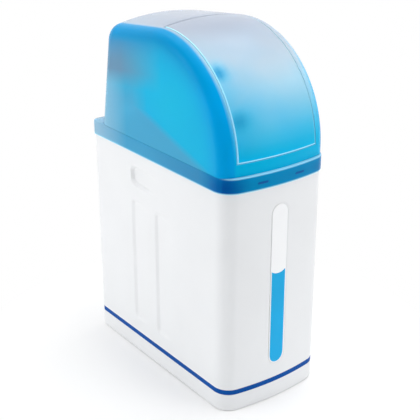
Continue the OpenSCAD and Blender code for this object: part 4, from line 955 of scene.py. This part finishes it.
# Painted shadows on the lid, where the painted highlight gives way: across, angle round the front, their
# spreads, strength
SHADOW_SPOTS = ((-90.0, 47.0, 22.0, 7.0, 0.9),
               (-84.0, 22.0, 40.0, 8.5, 0.77),
               (-100.0, 28.0, 34.0, 30.0, 0.45))
SPOT_DEEP, SPOT_FROM = 0.5, 0.45
LID_LIGHT, LID_LIGHT_RIGHT, LID_N = 0.9, 0.3, 42


def shadow_share(x, a):
    return max(full * math.exp(-((x - at_x) / wide) ** 2 - ((a - at_a) / high) ** 2)
               for at_x, at_a, wide, high, full in SHADOW_SPOTS)


def lid():
    s = Shape()
    half = OPEN_HALF - SEAM
    a0, a1 = OPEN_A0 + as_angle(SEAM), OPEN_A1 - as_angle(TOP_GAP)
    lip_a = a0 + as_angle(LIP_T)
    ends = (half - LIP_T - STEP, half - LIP_T, half - SOFT, half)
    cols = both([crown(x) for x in (0, 16, 32, 48, 64, 78, 88, *ends)])
    fine = lip_a + as_angle(STEP)
    angles = [a0, a0 + as_angle(SOFT), lip_a, fine]
    angles += [fine + (a1 - fine) * k / LID_N for k in range(1, LID_N)] + [a1 - as_angle(SOFT), a1]
    rows = [on_front(a) for a in angles]

    def at_side(j):
        return abs(cols[j][0]) > half - LIP_T - NEAR

    def at_foot(i):
        return rows[i].a <= lip_a + NEAR

    def outer(i, j):
        return SOFT_DROP if i in (0, len(rows) - 1) or j in (0, len(cols) - 1) else 0.0

    def inner(i, j):
        return LIP_D if at_side(j) or at_foot(i) else WALL

    # Painted edge highlights on the lid's foot and sides, brighter on the left; painted shadows at the
    # shadow spots, where the painted highlight fades
    def tone(i, j):
        x, a = cols[j][0], rows[i].a
        clear = shadow_share(x, a)
        painted_highlight = upward_highlight(rows[i], cols[j]) * (1 - clear)
        if at_foot(i) or at_side(j) and x < 0:
            return 0.0, LID_LIGHT, painted_highlight
        if at_side(j):
            return 0.0, LID_LIGHT_RIGHT, painted_highlight
        return SPOT_DEEP * smooth((clear - SPOT_FROM) / (1 - SPOT_FROM)), 0.0, painted_highlight

    moulding(s, rows, cols, outer, inner, always, tone)
    s.piece("lid_shell", "lid", "frosted_blue", ["salt_lid"], 38)


def lid_arms():
    """Two gooseneck arms from the pins, round the hood's edge and up into the lid."""
    s = Shape()
    py, pz = PIVOT
    bend = math.hypot(PIVOT_BACK - TOP_GAP, PIVOT_DROP) + ARM_CLEAR + ARM_T / 2
    top = AXIS_Z + math.sqrt((HOOD_R - crown_drop(HINGE_X)) ** 2 - (py - bend - AXIS_Y) ** 2) - ARM_SINK
    line = [polar(PIVOT, r, ARM_A) for r in (PIN_R + ARM_ROOT, ARM_KNEE)]
    line += [polar(PIVOT, bend, a) for a in range(ARM_A, 179, -ARM_STEP)]
    line += [(py - bend, pz), (py - bend, top)]
    rims = [[], []]
    for k, (y, z) in enumerate(line):
        ay, az = line[max(k - 1, 0)]
        by, bz = line[min(k + 1, len(line) - 1)]
        d = math.hypot(by - ay, bz - az)
        for rim, sign in zip(rims, (1, -1)):
            rim.append((y - sign * ARM_T / 2 * (bz - az) / d, z + sign * ARM_T / 2 * (by - ay) / d))
    boss, bore = ([polar(PIVOT, r, a) for a in range(0, 360, 10)] for r in (BOSS_R, PIN_R + ARM_FIT))
    for side in (-1, 1):
        x0, x1 = side * HINGE_X - ARM_W / 2, side * HINGE_X + ARM_W / 2
        prism(s, rims[0] + rims[1][::-1], None, x0, x1)
        prism(s, boss, bore, x0, x1)
    s.piece("lid_arms", "lid", "frosted_blue", [], 38)


def catches():
    """Two small tabs with round ends in the front of the flange."""
    s = Shape()
    proud, sunk = FLANGE_OUT + CATCH_PROUD, FLANGE_IN + CATCH_SUNK
    for side in (-1, 1):
        middle = side * (CATCH_END - CATCH_L / 2)
        face, back = [], []
        for k in range(CATCH_ROWS + 1):
            v = math.sin(rad(180 * k / CATCH_ROWS - 90)) * (CATCH_Z1 - CATCH_Z0) / 2
            face.append([])
            back.append([])
            for m in range(CATCH_COLS + 1):
                u = math.sin(rad(180 * m / CATCH_COLS - 90))
                x = middle + CATCH_L / 2 * u
                z = (CATCH_Z0 + CATCH_Z1) / 2 + v * math.sqrt(max(1 - abs(u) ** CATCH_BLUNT, CATCH_TIP))
                rim = k in (0, CATCH_ROWS) or m in (0, CATCH_COLS)
                face[-1].append(s.point((x, front_y(x) - proud + (SOFT_DROP if rim else 0), z)))
                back[-1].append(s.point((x, front_y(x) - sunk, z)))
        s.slab(face, back)
    s.piece("catch_faces", "cover", "catch_navy", ["cover_catches"], 50)


# Threads, collars, hose barbs and knob grips
THREAD_N, THREAD_START, THREAD_PITCH = 7, 2.2, 1.9
THREAD_SECTION = ((-0.6, -0.8), (0.7, -0.15), (0.7, 0.15), (-0.6, 0.8))
COLLAR = ((16, 12), (17.6, 12.4), (17.9, 13.2), (17.9, 14.4), (17.6, 15.2), (16, 15.6))
BARB_SINK, BARB_H, BARB_FACE, BARB_CREST = 0.6, 0.9, 0.3, 0.8
DRAIN_N, DRAIN_START, DRAIN_PITCH, DRAIN_BARB = 4, 18.0, 6.4, 5.2
SPOUT_N, SPOUT_START, SPOUT_PITCH, SPOUT_BARB = 3, 7.0, 6.0, 5.0
RIB_N, RIB_STEP, RIB_W, RIB_SINK, RIB_ROOT = 20, 18, 0.95, 0.8, 0.5
RIB_ANGLES = (-90, -50, -15, 15, 50, 90)
RIB_LEVELS = ((0.8, 0.2), (1.6, 0.8), (6.4, 0.8), (7.2, 0.2))
BAR_HALF_W, BAR_INSET, BAR_R = 3.0, 2.0, 1.4
BAR_LEVELS = ((0.35, 9.0), (0.35, 15.2), (0.1, 15.75), (-0.6, 15.95))


def ring(s, at, axis, profile, turns=40):
    """A closed ring round a line through at along Y or Z, from a profile of (radius, distance along it)."""
    loops = []
    for r, d in profile:
        loop = []
        for k in range(turns):
            u, v = polar((0, 0), r, 360 * k / turns)
            off = (u, d, v) if axis == "y" else (u, v, d)
            loop.append(s.point([a + b for a, b in zip(at, off)]))
        loops.append(loop)
    s.loft(loops + loops[:1])


def barb(r, start, sign, length):
    """A hose barb's profile: a steep face, a narrow crest and a long slope."""
    foot, crest = r - BARB_SINK, r + BARB_H
    return [(foot, start), (crest, start + sign * BARB_FACE), (crest, start + sign * BARB_CREST),
            (foot, start + sign * length)]


def pipe_ends():
    """Threads on the inlet and outlet, and hose barbs on the drain and the overflow."""
    s = Shape()
    for x in (-PORT_X, PORT_X):
        for k in range(THREAD_N):
            d = THREAD_START + THREAD_PITCH * k
            profile = [(THREAD_R + r, d + t) for r, t in THREAD_SECTION]
            ring(s, (x, PORT_Y - THREAD_L / 2, PORT_Z), "y", profile)
        ring(s, (x, BYPASS_Y, PORT_Z), "y", COLLAR)
    s.piece("port_threads", "softener", "black_plastic", [], 30)
    s = Shape()
    for k in range(DRAIN_N):
        profile = barb(DRAIN_R, DRAIN_START + DRAIN_PITCH * k, 1, DRAIN_BARB)
        ring(s, (DRAIN_X, DRAIN_Y, DRAIN_Z), "y", profile)
    s.piece("drain_ridges", "softener", "mid_grey", [], 30)
    s = Shape()
    for k in range(SPOUT_N):
        profile = barb(SPOUT_R, -SPOUT_START - SPOUT_PITCH * k, -1, SPOUT_BARB)
        ring(s, (SPOUT_X, SPOUT_Y, SPOUT_Z + SPOUT_L / 2), "z", profile)
    s.piece("spout_ridges", "softener", "black_plastic", [], 30)


def knob_rib(s, x, turn):
    """One finger rib on a knob's rim: a half round outside and a flat root inside it."""
    u, v = math.cos(rad(turn)), math.sin(rad(turn))
    loops = []
    for up, grow in RIB_LEVELS:
        z = KNOB_FOOT + KNOB_STEM + up
        section = [(KNOB_R + grow * math.cos(rad(a)), RIB_W * math.sin(rad(a))) for a in RIB_ANGLES]
        section += [(KNOB_R - RIB_SINK, RIB_ROOT), (KNOB_R - RIB_SINK, -RIB_ROOT)]
        loops.append([s.point((x + out * u - across * v, KNOB_Y + out * v + across * u, z))
                      for out, across in section])
    s.loft(loops)
    s.caps(loops[0], loops[-1])


def grip_bar(s, x):
    """A soft cap over a knob's grip bar."""
    loops = []
    for grow, up in BAR_LEVELS:
        half_x, half_y = BAR_HALF_W + grow - BAR_R, KNOB_R - BAR_INSET + grow - BAR_R
        loop = []
        for start, sx, sy in ((0, 1, 1), (90, -1, 1), (180, -1, -1), (270, 1, -1)):
            for a in range(start, start + 91, 30):
                cx, cy = polar((x + sx * half_x, KNOB_Y + sy * half_y), BAR_R, a)
                loop.append(s.point((cx, cy, KNOB_FOOT + KNOB_STEM + up)))
        loops.append(loop)
    s.loft(loops)
    s.caps(loops[0], loops[-1])


def knob_grips():
    for name, x, body in (("inlet_grip", -PORT_X, "inlet_valve"), ("outlet_grip", PORT_X, "outlet_valve")):
        s = Shape()
        for k in range(RIB_N):
            knob_rib(s, x, RIB_STEP * k)
        grip_bar(s, x)
        s.piece(name, body, "knob_red", [], 40)


cabinet()
band()
labels()
cover()
lid()
lid_arms()
catches()
pipe_ends()
knob_grips()

# Finishes of the nodes that stay as they are
slots = {part["node"]: part["material_slot"] for part in record["subparts"]}
for name, ob in frame["nodes"].items():
    mat = LOOKS[slots[name]]
    if ob.material_slots:
        for k in range(len(ob.material_slots)):
            ob.material_slots[k].material = mat
    else:
        ob.data.materials.append(mat)


# Stage, light and camera, in metres
FLOOR_HALF, FLOOR_DROP = 6.0, 0.0004
FLOOR_FADE = (0.16, 0.55)
SKY_TINT, SKY_STRENGTH = (0.95, 0.97, 1.0, 1), 0.42
LENS, SENSOR = 82.18, 36
CAMERA_AT, CAMERA_AIM = (-1.1596, -1.5577, 1.1768), (0.00772, -0.00581, 0.35166)


def mix_shaders(tree, factor, a, b):
    mix = tree.nodes.new("ShaderNodeMixShader")
    for value, socket in zip((factor, a, b), mix.inputs):
        tree.links.new(value, socket)
    return mix.outputs[0]


def mix_by_path(tree, lit, seen):
    """Shows seen to the camera, to reflections and through clear surfaces, and lit to all other light."""
    path = tree.nodes.new("ShaderNodeLightPath").outputs
    total = path["Is Camera Ray"]
    for other in ("Is Glossy Ray", "Is Transmission Ray"):
        total = maths(tree, "MAXIMUM", total, path[other])
    return mix_shaders(tree, total, lit, seen)


def studio_world():
    world = bpy.data.worlds.new("studio")
    world.use_nodes = True
    tree = world.node_tree
    tree.nodes.clear()
    lit, seen = tree.nodes.new("ShaderNodeBackground"), tree.nodes.new("ShaderNodeBackground")
    lit.inputs[0].default_value = SKY_TINT
    lit.inputs[1].default_value = SKY_STRENGTH
    seen.inputs[0].default_value = (1, 1, 1, 1)
    seen.inputs[1].default_value = 1.0
    out = tree.nodes.new("ShaderNodeOutputWorld")
    tree.links.new(mix_by_path(tree, lit.outputs[0], seen.outputs[0]), out.inputs[0])
    scene.world = world


def studio_floor():
    """A pale floor that runs into the white background away from the object."""
    mesh = bpy.data.meshes.new("studio_floor")
    around = ((-1, -1), (1, -1), (1, 1), (-1, 1))
    corners = [(x * FLOOR_HALF, y * FLOOR_HALF, -FLOOR_DROP) for x, y in around]
    mesh.from_pydata(corners, [], [(0, 1, 2, 3)])
    floor = bpy.data.objects.new("studio_floor", mesh)
    scene.collection.objects.link(floor)
    mat, tree, bsdf = shader("studio_floor")
    drift = spread(tree, noise(tree, 1.5), 0, 1)
    tint = blend_colour(tree, drift, (0.93, 0.93, 0.93), (0.94, 0.94, 0.94))
    tree.links.new(tint, bsdf.inputs["Base Color"])
    bsdf.inputs["Roughness"].default_value = 0.9
    bsdf.inputs["Specular IOR Level"].default_value = 0.0
    far = tree.nodes.new("ShaderNodeVectorMath")
    far.operation = "LENGTH"
    tree.links.new(place(tree), far.inputs[0])
    fade = spread(tree, far.outputs["Value"], 0, 1, *FLOOR_FADE)
    white = tree.nodes.new("ShaderNodeEmission")
    faded = mix_shaders(tree, fade, bsdf.outputs[0], white.outputs[0])
    out = next(n for n in tree.nodes if n.type == "OUTPUT_MATERIAL")
    tree.links.new(mix_by_path(tree, bsdf.outputs[0], faded), out.inputs[0])
    mesh.materials.append(mat)


def aimed(name, data, at, aim):
    ob = bpy.data.objects.new(name, data)
    ob.location = at
    ob.rotation_euler = (Vector(aim) - Vector(at)).to_track_quat("-Z", "Y").to_euler()
    scene.collection.objects.link(ob)
    return ob


def softbox(name, at, aim, width, height, watts):
    lamp = bpy.data.lights.new(name, "AREA")
    lamp.shape = "RECTANGLE"
    lamp.size, lamp.size_y = width, height
    lamp.energy = watts
    aimed(name, lamp, at, aim)


studio_world()
studio_floor()
softbox("overhead", (0.1, 0.2, 2.9), (0, 0, 0), 3.0, 3.0, 48)
softbox("left", (-2.2, 0.9, 1.1), (0, 0.05, 0.4), 1.2, 1.8, 20.5)
softbox("right_front", (1.3, -2.2, 1.1), (0, 0, 0.4), 1.2, 1.8, 14)
softbox("right_high", (0.8, -0.15, 2.7), (0, -0.1, 0.7), 1.6, 1.6, 26)

camera = bpy.data.cameras.new("camera")
camera.lens = LENS
camera.sensor_width = SENSOR
scene.camera = aimed("camera", camera, CAMERA_AT, CAMERA_AIM)
scene.view_settings.view_transform = "Standard"
